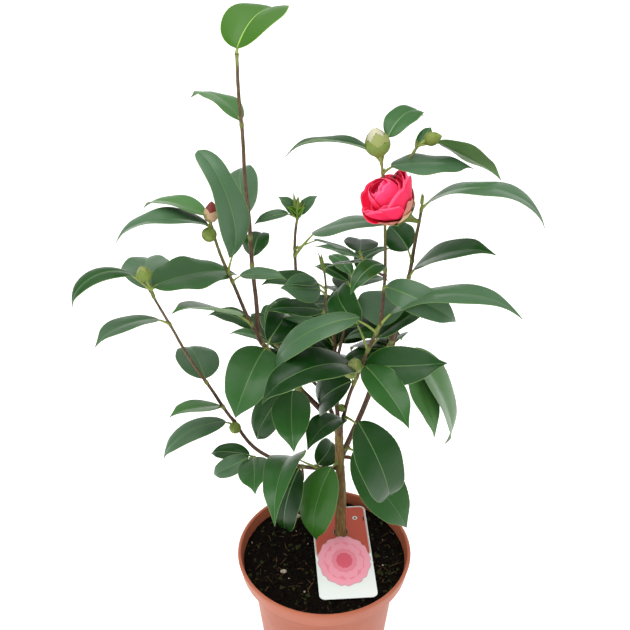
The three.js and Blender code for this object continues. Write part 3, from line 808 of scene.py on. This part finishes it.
def blade_lift(s, half, across, dice):
    """Height of the upper face over the midrib: folded, curled, rippled, veined and grooved."""
    share = np.abs(across) / half
    fold = math.tan(math.radians(BLADE.fold * dice.uniform(0.5, 1.6)))
    curl = BLADE.curl * dice.uniform(0.5, 1.6)
    wave = BLADE.wave * dice.uniform(0.4, 1.6)
    turns = 2 * math.pi * dice.uniform(1.2, 2.4) * s
    ripple = wave * np.sin(turns + dice.uniform(0, 6) + np.sign(across) * dice.uniform(0, 2))
    lift = fold * np.abs(across) + half * (ripple - curl) * share ** 2
    veins = np.cos(2 * math.pi * BLADE.veins * (s - 0.2 * share))
    relief = BLADE.vein_relief * veins * np.sin(math.pi * np.clip(share, 0, 1))
    lift -= relief * np.sin(math.pi * s)
    return lift - BLADE.groove * np.exp(-(across / BLADE.groove_width) ** 2) * np.minimum(1, half / 4)


def add_leaf(heap, stalks, name, leaf, dice):
    """A blade and its stalk. Returns where the stalk meets the limb and where it points."""
    curve = curves[name]
    chord = direction(leaf.heading, leaf.rise)
    up = facing(chord, leaf.lean)
    side = np.cross(up, chord)
    s = np.linspace(0, 1, STATIONS) ** 1.05
    half = half_widths(s, leaf.width, leaf.blunt)
    along, height, slope = midrib(s, leaf.length, leaf.droop)
    start = math.cos(slope[0]) * chord + math.sin(slope[0]) * up
    node = curve.at(leaf.at)
    leaving = unit(curve.tangent(leaf.at) + 1.2 * start)
    foot = node + leaf.stalk * leaving

    bend = BLADE.bend * leaf.length * dice.uniform(-1, 1)
    sway = 4 * bend * s * (1 - s)
    centre = foot + along[:, None] * chord + height[:, None] * up + sway[:, None] * side
    local_up = (np.cos(slope)[:, None] * up - np.sin(slope)[:, None] * chord)[:, None, :]
    across = blade_columns(s, half)
    s, half = s[:, None], half[:, None]
    lift = blade_lift(s, half, across, dice)
    top = centre[:, None, :] + across[:, :, None] * side + lift[:, :, None] * local_up
    thick = BLADE.thickness * (1 - 0.4 * (np.abs(across) / half) ** 4)
    thick += BLADE.keel * np.exp(-(across / BLADE.keel_width) ** 2) * (1 - s)
    bottom = top - thick[:, :, None] * local_up

    rib, margin, under = YOUNG_LEAF if leaf.tone == "young" else GROWN_LEAF
    columns = across.shape[1]
    strip = [f"leaf_{leaf.tone}"] * (columns - 1)
    strip[columns // 2 - 1] = rib
    # The outermost columns and the rim take the paler margin skin: partly the leaf's own edge, partly
    # painted highlight on the rim.
    strip[0] = strip[-1] = margin
    add_shell(heap, top, bottom, strip * (STATIONS - 1), under, margin)
    add_stalk(stalks, node, leaving, foot, centre, leaf.width)
    return node, leaving


def add_stalk(heap, node, leaving, foot, centre, width):
    """A leaf stalk: round, a little thicker at the limb, and run on into the foot of the midrib."""
    along = centre[3] - centre[2]
    away = unit(np.cross(along, np.cross(leaving, along)) + 1e-9)  # the part of `leaving` square to it
    inside = centre[3] - STALK.inset * away
    t = np.linspace(0, 1, 10)[:, None]
    path = (1 - t) ** 2 * node + 2 * t * (1 - t) * (0.35 * node + 0.65 * foot) + t ** 2 * inside
    thick = min(STALK.most, STALK.least + width * STALK.per_width)
    add_tube(heap, path, np.linspace(thick * 1.25, thick * 0.55, 10), 8, "leaf_stalk")


# ---------- buds ----------
def bud_frame(axis):
    """The axis and two directions square to it and to each other."""
    axis = unit(axis)
    side = unit(np.cross(axis, [0.2, 0.9, 0.1]))
    return axis, side, np.cross(axis, side)


def bud_profile(v):
    """Radius of a bud at a share v of its height, with 1 at about its widest."""
    profile = np.sin(math.pi * np.clip(v, 0, 1) ** 0.75) ** 0.62
    return profile * (1 - (1 - BUD_BLUNTNESS) * smoothstep(0.45, 1, v) * 0.75) + 0.02


def add_bud(heap, foot, axis, bud, dice):
    """An ovoid body wrapped in overlapping scales."""
    axes = bud_frame(axis)
    body_skin, low_skin, high_skin = bud.skins
    v = np.linspace(0, 1, 14)
    path = foot + (v * bud.length)[:, None] * axes[0]
    add_tube(heap, path, bud_profile(v) * bud.width / 2 * 0.94, 20, body_skin)
    rise, fan = grid(9, 9)
    outline = np.sqrt(np.clip(1 - rise ** 2.4, 0, 1)) * 0.97 + 0.03
    for k in range(BUD_SCALES):
        rank = k / (BUD_SCALES - 1)
        turn = math.radians(GOLDEN_ANGLE * k) + dice.uniform(-0.2, 0.2)
        low, high = 0.42 * rank, 0.50 + 0.46 * rank
        share = low + (high - low) * rise * (1 - 0.06 * fan ** 2)
        angle = turn + math.radians(72 - 20 * rank) * outline * fan
        stand = 1.0 + 0.035 * rise ** 2 + 0.02 * (1 - rank) + 0.015 * dice.uniform(0, 1)
        radius = bud_profile(share) * bud.width / 2 * stand
        layers = [round_axis(foot, axes, share * bud.length, radius - inset, angle) for inset in (0, 0.3)]
        add_shell(heap, *layers, low_skin if rank < 0.55 else high_skin)


def add_spike(heap, foot, spike, dice):
    """A growth bud: narrow pointed scales that stand a little apart."""
    axis, side, out = bud_frame(direction(spike.heading, spike.rise))
    v = np.linspace(0, 1, 9)
    profile = np.sin(math.pi * v ** 0.6) ** 0.8 * (1 - 0.55 * v) + 0.06
    for k in range(SPIKE_SCALES):
        turn = math.radians(GOLDEN_ANGLE * k)
        away = unit(axis + (0.10 + 0.05 * (k % 3)) * (math.cos(turn) * side + math.sin(turn) * out))
        reach = spike.length * (1 - 0.09 * k + 0.06 * dice.uniform(-1, 1))
        path = foot + (v * reach)[:, None] * away
        add_tube(heap, path, spike.width / 2 * 0.62 * profile, 8, "bud_green")


def make_buds():
    heap, twigs = Heap(), Heap()
    for k, bud in enumerate(BUDS):
        curve = curves[bud.limb]
        axis = direction(bud.heading, bud.rise)
        node = curve.at(min(bud.at, 0.995))
        leaving = unit(curve.tangent(bud.at) + axis)
        foot = node + (limb_radius(bud.limb, bud.at) * 0.5 + bud.stalk) * leaving
        path = Curve(node, foot + 0.8 * axis, 0.1 * bud.stalk * axis).spaced(6)
        add_tube(twigs, path, np.linspace(1.0, 1.5, 6), 8, "leaf_stalk")
        add_bud(heap, foot, axis, bud, np.random.default_rng(SEED * 100 + k))
    for k, spike in enumerate(SPIKES):
        foot = curves[spike.limb].at(min(spike.at, 0.99))
        add_spike(heap, foot, spike, np.random.default_rng(SEED * 200 + k))
    heap.piece("buds")
    twigs.piece("bud_stalks")


def add_axil_bud(heap, name, leaf, node, leaving):
    """The small pointed bud between a leaf's stalk and its limb."""
    tangent = curves[name].tangent(leaf.at)
    axis = unit(tangent + 0.5 * leaving)
    foot = node + limb_radius(name, leaf.at) * unit(leaving - tangent * leaving.dot(tangent) + 1e-6) * 0.8
    v = np.linspace(0, 1, 8)
    radii = AXIL_BUD.radius * (np.sin(math.pi * v ** 0.7) ** 0.8 * (1 - 0.4 * v) + 0.05)
    add_tube(heap, foot + (v * AXIL_BUD.length)[:, None] * axis, radii, 8, "bud_green")


# ---------- flower ----------
def add_petal(heap, foot, axes, turn, row, dice):
    """A petal: part of a stretched ball's skin, broad and shallowly notched, creased and ruffled."""
    radius = FLOWER.radius * row.size * dice.uniform(0.94, 1.05)
    close = row.close + dice.uniform(-9, 9)
    v, u = grid(19, 21)
    slant = dice.uniform(-0.07, 0.07) * u
    reach = v * (1 - 0.15 * u ** 2 - 0.05 * np.exp(-(u / 0.14) ** 2) + slant)
    polar = np.radians(6 + (close - 6) * reach)
    outline = 0.30 + 0.70 * np.sin(math.pi * (0.06 + 0.60 * v)) ** 0.8
    angle = turn + math.radians(row.spread) * outline * u
    ruffle = 0.04 * radius * np.sin(4.2 * u + dice.uniform(0, 6)) * v ** 3
    crease = -0.05 * radius * np.exp(-(u / 0.2) ** 2) * np.sin(math.pi * v)
    flare = radius * (row.lean + dice.uniform(-0.04, 0.06)) * smoothstep(0.55, 1, v)
    overlap = 0.07 * radius * u * dice.uniform(0.5, 1)
    bowl = radius * np.sin(polar) + ruffle + crease + flare + overlap
    height = radius * FLOWER.stretch * (1 - np.cos(polar))
    outer = round_axis(foot, axes, height, bowl, angle)
    inner = round_axis(foot, axes, height + 0.1, bowl - 0.4, angle)
    across = u.size - 1
    skins = [row.skin] * (v.size - 2) * across + ["petal_rim"] * across
    add_shell(heap, outer, inner, skins, skins, "petal_rim")


def add_sepal(heap, foot, axes, turn, reach, stand, skin):
    """A rounded scale that lies close round the foot of the cup, `stand` mm off the petals."""
    v, u = grid(11, 11)
    polar = np.radians(5 + (reach - 5) * v * (1 - 0.1 * u ** 2))
    angle = turn + math.radians(44) * np.sqrt(np.clip(1 - v ** 2.6, 0, 1) * 0.95 + 0.05) * u
    layers = []
    for inset in (0, 0.5):
        radius = FLOWER.radius * 1.03 + stand - inset
        height = radius * FLOWER.stretch * (1 - np.cos(polar)) + inset - 1.6 * stand
        layers.append(round_axis(foot, axes, height, radius * np.sin(polar), angle))
    add_shell(heap, *layers, skin)


def make_flower():
    dice = np.random.default_rng(SEED + 5)
    foot = np.array(FLOWER.foot, float)
    axis = direction(FLOWER.heading, FLOWER.rise)
    axes = bud_frame(axis)
    heart = foot + FLOWER.heart * square_to(axis, direction(FLOWER.heart_heading, 0))
    petals = Heap()
    for middle, rows in ((foot, PETALS), (heart, HEART)):
        for number, row in enumerate(rows):
            for k in range(row.count):
                turn = 2 * math.pi * (k + 0.5 * (number % 2) + dice.uniform(-0.16, 0.16)) / row.count
                add_petal(petals, middle + axis * row.up, axes, turn, row, dice)
    petals.piece("flower_petals")
    calyx = Heap()
    for number, (reach, stand, skin) in enumerate(SEPALS):
        for k in range(FLOWER.sepals):
            turn = 2 * math.pi * (k + number / len(SEPALS) + dice.uniform(-0.06, 0.06)) / FLOWER.sepals
            add_sepal(calyx, foot, axes, turn, reach * dice.uniform(0.88, 1.1), stand, skin)
    node = curves[FLOWER.limb].at(FLOWER.at)
    path = Curve(node, foot, -2.5 * axis).spaced(len(FLOWER.neck_radii))
    add_tube(calyx, path, FLOWER.neck_radii, 16, "bud_olive")
    calyx.piece("flower_calyx")


# ---------- bark ----------
def leaf_nodes(name):
    return sorted({leaf.at for leaf in LEAVES.get(name, [])})


def near_any(s, places, reach):
    """1 at each of the places, fading to 0 over a few times `reach`."""
    return np.max([np.exp(-((s - place) / reach) ** 2) for place in places] + [np.zeros_like(s)], axis=0)


def limb_relief(name, s, angle, length, dice):
    """Relief of the bark, in mm: lengthwise ridges, a swelling at each leaf's node and each fork."""
    ridges = 0
    for count in BARK.ridges:
        size = dice.uniform(0.03, 0.09)
        shift = dice.uniform(0, 6)
        sway = dice.uniform(2, 5)
        winding = sway * np.sin(2 * math.pi * s[:, None] * length / dice.uniform(18, 40))
        ridges = ridges + size * np.sin(count * angle[None, :] + shift + winding)
    if name != "trunk":
        ridges = ridges * BARK.young_share
    forks = [limb.at for limb in ALL_LIMBS.values() if limb.on == name and limb.at < 0.999]
    swellings = near_any(s, leaf_nodes(name) + forks, BARK.node_reach / length)
    return ridges + BARK.node_height * swellings[:, None]


def make_limb(name):
    curve = curves[name]
    dice = np.random.default_rng(SEED + sorted(curves).index(name))
    on_trunk = name == "trunk"
    sides = BARK.trunk_sides if on_trunk else BARK.limb_sides
    stations = max(12, int(curve.length / BARK.step))
    s = np.linspace(0, 1, stations)
    radius = limb_radius(name, s)
    if on_trunk:
        rise = s * (TRUNK.tip[2] - TRUNK.foot[2])
        radius = radius + TRUNK.flare / 2 * np.exp(-3 * rise / TRUNK.flare_height)
        age = np.zeros_like(s)
    else:
        radius = radius + BARK.collar * np.exp(-s * curve.length / BARK.collar_reach)
        # Green comes on towards the tip, and strongly at its very end and at each leaf's node.
        green = ALL_LIMBS[name].green
        age = green * smoothstep(0.15, 0.95, s) + (1 - green) * 0.8 * smoothstep(0.95, 0.98, s)
        age = np.maximum(age, 0.75 * near_any(s, leaf_nodes(name), 2.2 / curve.length))
    wander = s[:, None] * curve.length / np.array(BARK.wander_lengths)
    path = curve.at(s) + BARK.wander * np.sin(wander + dice.uniform(0, 6))
    path += (curve.at(0.0) - path[0]) * np.exp(-s * curve.length / 6)[:, None]
    radii = radius[:, None] + limb_relief(name, s, full_turn(sides), curve.length, dice)
    points = sweep(path, radii, sides)
    if on_trunk:
        points[:sides, 2] = TRUNK.foot[2]
    bark = "trunk_bark" if on_trunk else "shoot_bark"
    heap = Heap()
    heap.add(points, tube_faces(stations, sides), bark, np.repeat(age, sides))
    heap.piece(f"bark_{name}", bark, sharp=70, replaces=() if name in TWIGS else (name,))


def make_snags():
    """The dry end of a cut branch at the right bough's fork, and two short snags."""
    heap = Heap()
    for name, at, heading, rise, length, radius in SNAGS:
        dice = np.random.default_rng(SEED + int(100 * at))
        foot = curves[name].at(at)
        tip = foot + length * direction(heading, rise)
        path = Curve(foot, tip, 0.12 * length * direction(heading, rise + 90)).spaced(12)
        radii = radius * (1 - 0.15 * np.linspace(0, 1, 12))[:, None] + dice.uniform(-0.12, 0.12, (12, 10))
        radii[-1] *= 0.6
        add_tube(heap, path, radii, 10, "dry_wood")
    heap.piece("dry_stubs")


# ---------- pot and soil ----------
def round_corner(x, y, radius, start, stop, steps=5):
    turns = np.radians(np.linspace(start, stop, steps))
    return [(x + radius * math.cos(t), y + radius * math.sin(t)) for t in turns]


def lathe(profile, sides):
    """Closed solid of revolution round Z, from a profile that starts and ends on the axis."""
    angle = full_turn(sides)
    middle = profile[1:-1]
    points = [[(0, 0, profile[0][1]), (0, 0, profile[-1][1])]]
    points += [ring(angle, radius, height) for radius, height in middle]
    last = 2 + (len(middle) - 1) * sides
    faces = []
    for j in range(sides):
        k = (j + 1) % sides
        faces.append((0, 2 + k, 2 + j))
        for a in range(2, last, sides):
            faces.append((a + j, a + k, a + sides + k, a + sides + j))
        faces.append((last + j, last + k, 1))
    return np.concatenate(points), faces


def body_radius(z):
    """The pot's outer radius below its collar."""
    return POT.foot + (POT.shoulder - POT.foot) * z / SHOULDER_HEIGHT


def make_pot():
    top, rim, foot, floor, shoulder = POT.height, POT.rim, POT.foot, POT.floor, SHOULDER_HEIGHT
    inside = rim - POT.lip
    collar_foot = rim - POT.collar_taper
    at_foot, at_shoulder, at_collar = POT.foot_round, POT.shoulder_round, POT.collar_round
    at_rim, at_lip = POT.rim_round, POT.lip_round
    profile = [(0, POT.recess), (foot - 6, POT.recess), (foot - 5.2, 0)]
    profile += round_corner(foot - at_foot, at_foot, at_foot, -90, -5)
    profile += [(body_radius(z), z) for z in np.linspace(8, shoulder - 2.5, 7)]
    profile += round_corner(
        body_radius(shoulder) + at_shoulder, shoulder - at_shoulder, at_shoulder, 180, 95, 4)
    profile += round_corner(collar_foot - at_collar, shoulder + at_collar, at_collar, -80, 0, 4)
    profile += [(rim - 1.1, top - 6)]
    profile += round_corner(rim - at_rim, top - at_rim, at_rim, 5, 90)
    profile += round_corner(inside + at_lip, top - at_lip, at_lip, 95, 180)
    profile += [(COLLAR_INSIDE, shoulder + 2), (body_radius(shoulder) - POT.wall, shoulder - 1.5)]
    profile += [(body_radius(floor) - POT.wall, floor), (0, floor)]
    heap = Heap()
    heap.add(*lathe(profile, 144), "terracotta_plastic")
    drill(heap.piece("pot_shell", "pot", sharp=40, replaces=("pot",)))


def drill(pot):
    """Cuts the drain holes through the pot's floor."""
    cutters = Heap()
    centres = ring(full_turn(POT.drain_holes), POT.drain_circle)
    for centre in centres:
        edge = centre + ring(full_turn(20), POT.drain_radius)
        cutters.add(np.concatenate([edge - [0, 0, 2], edge + [0, 0, 6]]), tube_faces(2, 20), "cut")
    cutter = placed("drain_cutters", cutters.mesh("drain_cutters"))
    cut = pot.modifiers.new("drain", "BOOLEAN")
    cut.object = cutter
    cut.operation = "DIFFERENCE"
    drilled = as_mesh(pot)
    pot.modifiers.remove(cut)
    pot.data = drilled
    bpy.data.objects.remove(cutter)


def soil_height(x, y):
    """Height of the soil's surface: a low crown with lumps and hollows."""
    height = SOIL.top + SOIL.crown - SOIL.fall * smoothstep(*SOIL.slope, np.hypot(x, y))
    rng = np.random.default_rng(SEED + 40)
    for wavelength, size in SOIL.lumps:
        for _ in range(3):
            turn, shift = rng.uniform(0, 2 * math.pi), rng.uniform(0, 2 * math.pi)
            way = x * math.cos(turn) + y * math.sin(turn)
            height = height + size / 3 * np.sin(2 * math.pi * way / wavelength + shift)
    return height


def make_soil():
    """A bed that fills the pot: a lumpy top, and plain sides just inside the pot's wall."""
    inner = COLLAR_INSIDE + 0.6
    gap = POT.wall + 0.1
    rings, sides = SOIL.rings, SOIL.sides
    angle = full_turn(sides)
    radii = np.linspace(inner / rings, inner, rings)
    x, y = radii[:, None] * np.cos(angle), radii[:, None] * np.sin(angle)
    z = soil_height(x, y) + np.random.default_rng(SEED + 41).uniform(-0.3, 0.3, x.shape)
    lower = [
        (inner - 0.5, SHOULDER_HEIGHT + 2.4),
        (body_radius(SHOULDER_HEIGHT) - gap, SHOULDER_HEIGHT - 1.3),
        (body_radius(POT.floor) - gap, POT.floor + 0.1),
    ]
    points = [np.stack([x, y, z], axis=-1).reshape(-1, 3)]
    points += [ring(angle, radius, height) for radius, height in lower]
    points += [[(0, 0, SOIL.top + SOIL.crown)]]
    points = np.concatenate(points)
    hub = len(points) - 1
    faces = tube_faces(rings + len(lower), sides)[1:]
    faces += [(hub, (j + 1) % sides, j) for j in range(sides)]
    heap = Heap()
    heap.add(points, faces, "soil")
    heap.piece("soil_bed", "soil", sharp=60, replaces=("soil",))


def clear_of_label(x, y, margin):
    turn = math.radians(LABEL.turn)
    dx, dy = x - LABEL.centre[0], y - LABEL.centre[1]
    across = dx * math.cos(turn) + dy * math.sin(turn)
    along = dy * math.cos(turn) - dx * math.sin(turn)
    return abs(across) > LABEL.width / 2 + margin or abs(along) > LABEL.length / 2 + margin


def strewn(rng, reach):
    """Distance and angle of a random place within reach of the soil's middle."""
    return reach * math.sqrt(rng.uniform(0, 1)), rng.uniform(0, 2 * math.pi)


def make_crumbs():
    """Crumbs of earth and moss and a few pale grains, finer under the label."""
    rng = np.random.default_rng(SEED + 42)
    ball, ball_faces = icosphere()
    heap = Heap()
    for _ in range(SOIL.crumbs):
        r, turn = strewn(rng, COLLAR_INSIDE)
        size = SOIL.crumb_size + SOIL.crumb_growth * rng.uniform(0, 1) ** 4
        r = min(r, COLLAR_INSIDE - size)
        x, y = r * math.cos(turn), r * math.sin(turn)
        if not clear_of_label(x, y, 1) and size > 1.2:
            size = 1.0
        shape = rng.uniform(0.6, 1.2, 3) * size
        lumps = 1 + rng.uniform(-0.22, 0.22, (len(ball), 1))
        points = turned(ball * lumps * shape * [1, 1, 0.75], rng.uniform(0, 2 * math.pi))
        pick = rng.uniform(0, 1)
        mossy = SOIL.mossy_share + SOIL.mossy_extra * (x > 0)
        skin = "crumb_pale" if pick < SOIL.pale_share else "crumb_mossy" if pick < mossy else "crumb_dark"
        heap.add(points + [x, y, soil_height(x, y) + 0.15 * size], ball_faces, skin)
    for x, y, size, skin in SOIL.pebbles:
        points = ball * [size, size * 0.7, size * 0.5]
        heap.add(points + [x, y, soil_height(x, y) + 0.8], ball_faces, skin)
    heap.piece("soil_crumbs", sharp=35)
    make_fibres(rng)


def make_fibres(rng):
    """Shreds of bark that lie on the soil, clear of the label."""
    heap = Heap()
    for _ in range(SOIL.fibres):
        r, turn = strewn(rng, COLLAR_INSIDE - 7)
        x, y = r * math.cos(turn), r * math.sin(turn)
        if not clear_of_label(x, y, 4):
            continue
        length, heading = rng.uniform(3, 11), rng.uniform(0, 360)
        foot = np.array([x, y, soil_height(x, y) + 0.5])
        tip = foot + length * direction(heading, rng.uniform(-4, 12))
        if np.hypot(tip[0], tip[1]) > COLLAR_INSIDE - 1:
            continue
        path = Curve(foot, tip, (*rng.uniform(-0.8, 0.8, 2), 0.4)).spaced(7)
        radii = rng.uniform(0.15, 0.42) * np.array([0.5, 1, 1.1, 1, 0.9, 0.8, 0.4])
        add_tube(heap, path, radii, 6, "bark_fibre")
    heap.piece("soil_fibres")


def icosphere():
    """An icosahedron, each face split in four, of radius 1."""
    golden = (1 + math.sqrt(5)) / 2
    corners = [(s, t * golden, 0) for s in (1, -1) for t in (1, -1)]
    corners += [(0, x, y) for x, y, _ in corners[:4]] + [(y, 0, x) for x, y, _ in corners[:4]]
    points = [unit(np.array(c, float)) for c in corners]
    edge = min(np.linalg.norm(points[0] - p) for p in points[1:]) * 1.01
    near = [[np.linalg.norm(p - q) < edge for q in points] for p in points]
    middles, split = {}, []
    for a, b, c in combinations(range(12), 3):
        if not (near[a][b] and near[b][c] and near[a][c]):
            continue
        ids = []
        for pair in ((a, b), (b, c), (a, c)):
            if pair not in middles:
                middles[pair] = len(points)
                points.append(unit(points[pair[0]] + points[pair[1]]))
            ids.append(middles[pair])
        ab, bc, ca = ids
        split += [(a, ab, ca), (b, bc, ab), (c, ca, bc), (ab, bc, ca)]
    points = np.array(points)
    return points, [outward(points, face) for face in split]


def outward(points, face):
    """A triangle of a ball round the origin, with its corners in the order that faces out."""
    a, b, c = points[list(face)]
    return face if np.dot(np.cross(b - a, c - a), a) > 0 else face[::-1]


# ---------- label ----------
# It is built flat, from outlines filled and given a thickness, and then turned and put in place.
def rounded_box(half_width, low, high, corner):
    right, top, bottom = half_width - corner, high - corner, low + corner
    points = []
    for k, (x, y) in enumerate(((right, top), (-right, top), (-right, bottom), (right, bottom))):
        points += round_corner(x, y, corner, 90 * k, 90 * k + 90, 8)
    return points


def circle(x, y, radius, steps=40):
    return round_corner(x, y, radius, 0, 360 - 360 / steps, steps)


def add_plate(heap, outlines, low, high, finish):
    """A flat plate between two heights over the label's foot, from an outline and the holes in it."""
    curve = bpy.data.curves.new("outline", "CURVE")
    curve.dimensions = "2D"
    curve.fill_mode = "BOTH"
    curve.extrude = (high - low) / 2 * MM
    for outline in outlines:
        spline = curve.splines.new("POLY")
        spline.points.add(len(outline) - 1)
        spline.points.foreach_set("co", np.array([(x * MM, y * MM, 0, 1) for x, y in outline]).ravel())
        spline.use_cyclic_u = True
    holder = placed("outline", curve)
    mesh = as_mesh(holder)
    bpy.data.objects.remove(holder)
    points = np.array([vertex.co for vertex in mesh.vertices]) / MM + [0, 0, (low + high) / 2]
    points = turned(points, math.radians(LABEL.turn)) + LABEL.centre
    heap.add(points, [tuple(face.vertices) for face in mesh.polygons], finish)


def petal_outline(turn, length, width):
    """A broad rounded petal of the label's picture, flat, with its foot at the picture's centre."""
    t = full_turn(26)
    along = length * (0.5 - 0.5 * np.cos(t)) * (1 - 0.04 * np.cos(6 * t))
    across = width / 2 * np.sin(t) * (0.55 + 0.75 * (0.5 - 0.5 * np.cos(t)))
    x = LABEL.rosette[0] + along * math.cos(turn) - across * math.sin(turn)
    y = LABEL.rosette[1] + (along * math.sin(turn) + across * math.cos(turn)) * LABEL.rosette_stretch
    return list(zip(x, y))


def make_label():
    half, long, thick, layer = LABEL.width / 2, LABEL.length / 2, LABEL.thickness, LABEL.layer
    hx, hy, hr = LABEL.trunk_hole
    tx, ty, tr = LABEL.tag_hole
    # A thin crescent cut beside the tag hole.
    slit = round_corner(tx + 1, ty, 7.5, -35, 20, 8) + round_corner(tx + 0.4, ty, 7.0, 20, -35, 8)
    card_outline = rounded_box(half, -long, long, LABEL.corner)
    body = Heap()
    add_plate(body, [card_outline, circle(hx, hy, hr), circle(tx, ty, tr), slit], 0, thick, "card_white")
    body.piece("label_card", "label", replaces=("plant_label",))

    border, end = LABEL.border, LABEL.print_end
    holes = [circle(hx, hy, hr + 0.15), circle(tx, ty, tr + 0.9), slit]
    side, top = half - LABEL.print_inset, long - LABEL.print_inset
    border_outline = rounded_box(side, end - border, top, LABEL.border_corner)
    field_outline = rounded_box(side - border, end, top - border, LABEL.field_corner)
    printed = Heap()
    add_plate(printed, [border_outline, *holes], thick, thick + layer, "print_border")
    add_plate(printed, [field_outline, *holes], thick + layer, thick + 2 * layer, "print_orange")
    reach = LABEL.rosette_radius
    for k, (count, size, broad, skin) in enumerate(ROSETTE):
        for i in range(count):
            turn = 2 * math.pi * (i + 0.5 * (k // 2 % 2)) / count + 0.3
            low = thick + 2 * layer + (8 * k + i) * LABEL.petal_step
            add_plate(printed, [petal_outline(turn, reach * size, reach * broad)], low, low + layer, skin)
    printed.piece("label_print")


# ---------- the leaves ----------
def make_leaves():
    stalks, axil_buds = Heap(), Heap()

    def grow(heap, name, leaf, dice):
        node, leaving = add_leaf(heap, stalks, name, leaf, dice)
        add_axil_bud(axil_buds, name, leaf, node, leaving)

    for zone, (limb_names, masses) in ZONES.items():
        heap = Heap()
        for name in limb_names:
            for number, leaf in enumerate(LEAVES[name]):
                grow(heap, name, leaf, np.random.default_rng([SEED, len(name), number]))
        heap.piece(zone, "leaves", sharp=50, replaces=masses)
    heap = Heap()
    dice = np.random.default_rng(SEED)
    for name, spray in SPRAYS.items():
        for leaf in grow_spray(spray, dice):
            grow(heap, name, leaf, dice)
    heap.piece("leaves_far_side", "leaves", sharp=50, replaces=BACK_MASSES)
    stalks.piece("leaf_stalks")
    axil_buds.piece("axil_buds")


def grow_spray(spray, dice):
    """Leaves in tiers along a shoot: the topmost tier is the shortest, and they hang more lower down."""
    leaves = []
    for tier in range(spray.tiers):
        for i in range(SPRAY_LEAVES):
            share = i / (SPRAY_LEAVES - 1)
            fan = share + 0.11 * (tier % 2)
            heading = spray.first + (spray.last - spray.first) * fan + dice.uniform(-9, 9)
            rise = spray.rise + 22 - 20 * tier + dice.uniform(-9, 9)
            length = spray.length * (0.84 + 0.11 * tier) * dice.uniform(0.86, 1.06)
            at = 1 - spray.share * (tier + share * 0.8) / spray.tiers
            tone = SPRAY_TONES[int(dice.integers(len(SPRAY_TONES)))]
            lean = (dice.uniform(5, 30), heading + dice.uniform(-60, 60))
            width = length * dice.uniform(0.42, 0.5)
            leaves.append(Leaf(at, 8, heading, rise, length, width, lean, dice.uniform(30, 60), tone))
    return leaves


# ---------- stage ----------
def make_stage():
    bpy.ops.mesh.primitive_plane_add(size=FLOOR.size)
    floor = bpy.context.object
    floor.name = "floor"
    Finish("floor_white", FLOOR.white, FLOOR.roughness, glow=(1, 1, 1), glow_strength=FLOOR.glow)
    floor.data.materials.append(MATERIALS["floor_white"])
    bpy.context.scene.world = bpy.data.worlds.new("studio")
    light_from_above(Nodes(bpy.context.scene.world))
    for name, (place, size, power) in LAMPS.items():
        add_lamp(name, place, size, power)


def light_from_above(world):
    """A white studio lit mostly from overhead, with a pale backdrop, so that level leaves catch a sheen."""
    place = world.node("ShaderNodeTexCoord").outputs["Generated"]
    height = world.node("ShaderNodeSeparateXYZ", Vector=place).outputs["Z"]
    background = world.tree.nodes["Background"]
    world.feed(world.ramp(height, *STUDIO), background.inputs["Color"])
    world.feed(STUDIO_STRENGTH, background.inputs["Strength"])


def add_lamp(name, place, size, power):
    light = bpy.data.lights.new(name, "AREA")
    light.size = size
    light.energy = power
    lamp = placed(name, light)
    lamp.location = place
    look = np.array(LAMP_AIM) - np.array(place)
    from_above = math.atan2(math.hypot(look[0], look[1]), -look[2])
    lamp.rotation_euler = (from_above, 0, math.atan2(look[1], look[0]) - math.pi / 2)


def make_camera():
    data = bpy.data.cameras.new("camera")
    data.lens = CAMERA.lens
    data.sensor_width = CAMERA.sensor
    camera = placed("camera", data)
    camera.location = [c * MM for c in CAMERA.place]
    camera.rotation_euler = (math.radians(90 - CAMERA.pitch_down), 0, 0)
    bpy.context.scene.camera = camera
    bpy.context.scene.view_settings.view_transform = "Standard"


make_camera()
make_stage()
make_materials()
make_pot()
make_soil()
make_crumbs()
make_label()
for limb_name in curves:
    make_limb(limb_name)
make_snags()
make_leaves()
make_buds()
make_flower()

bpy.context.view_layer.update()
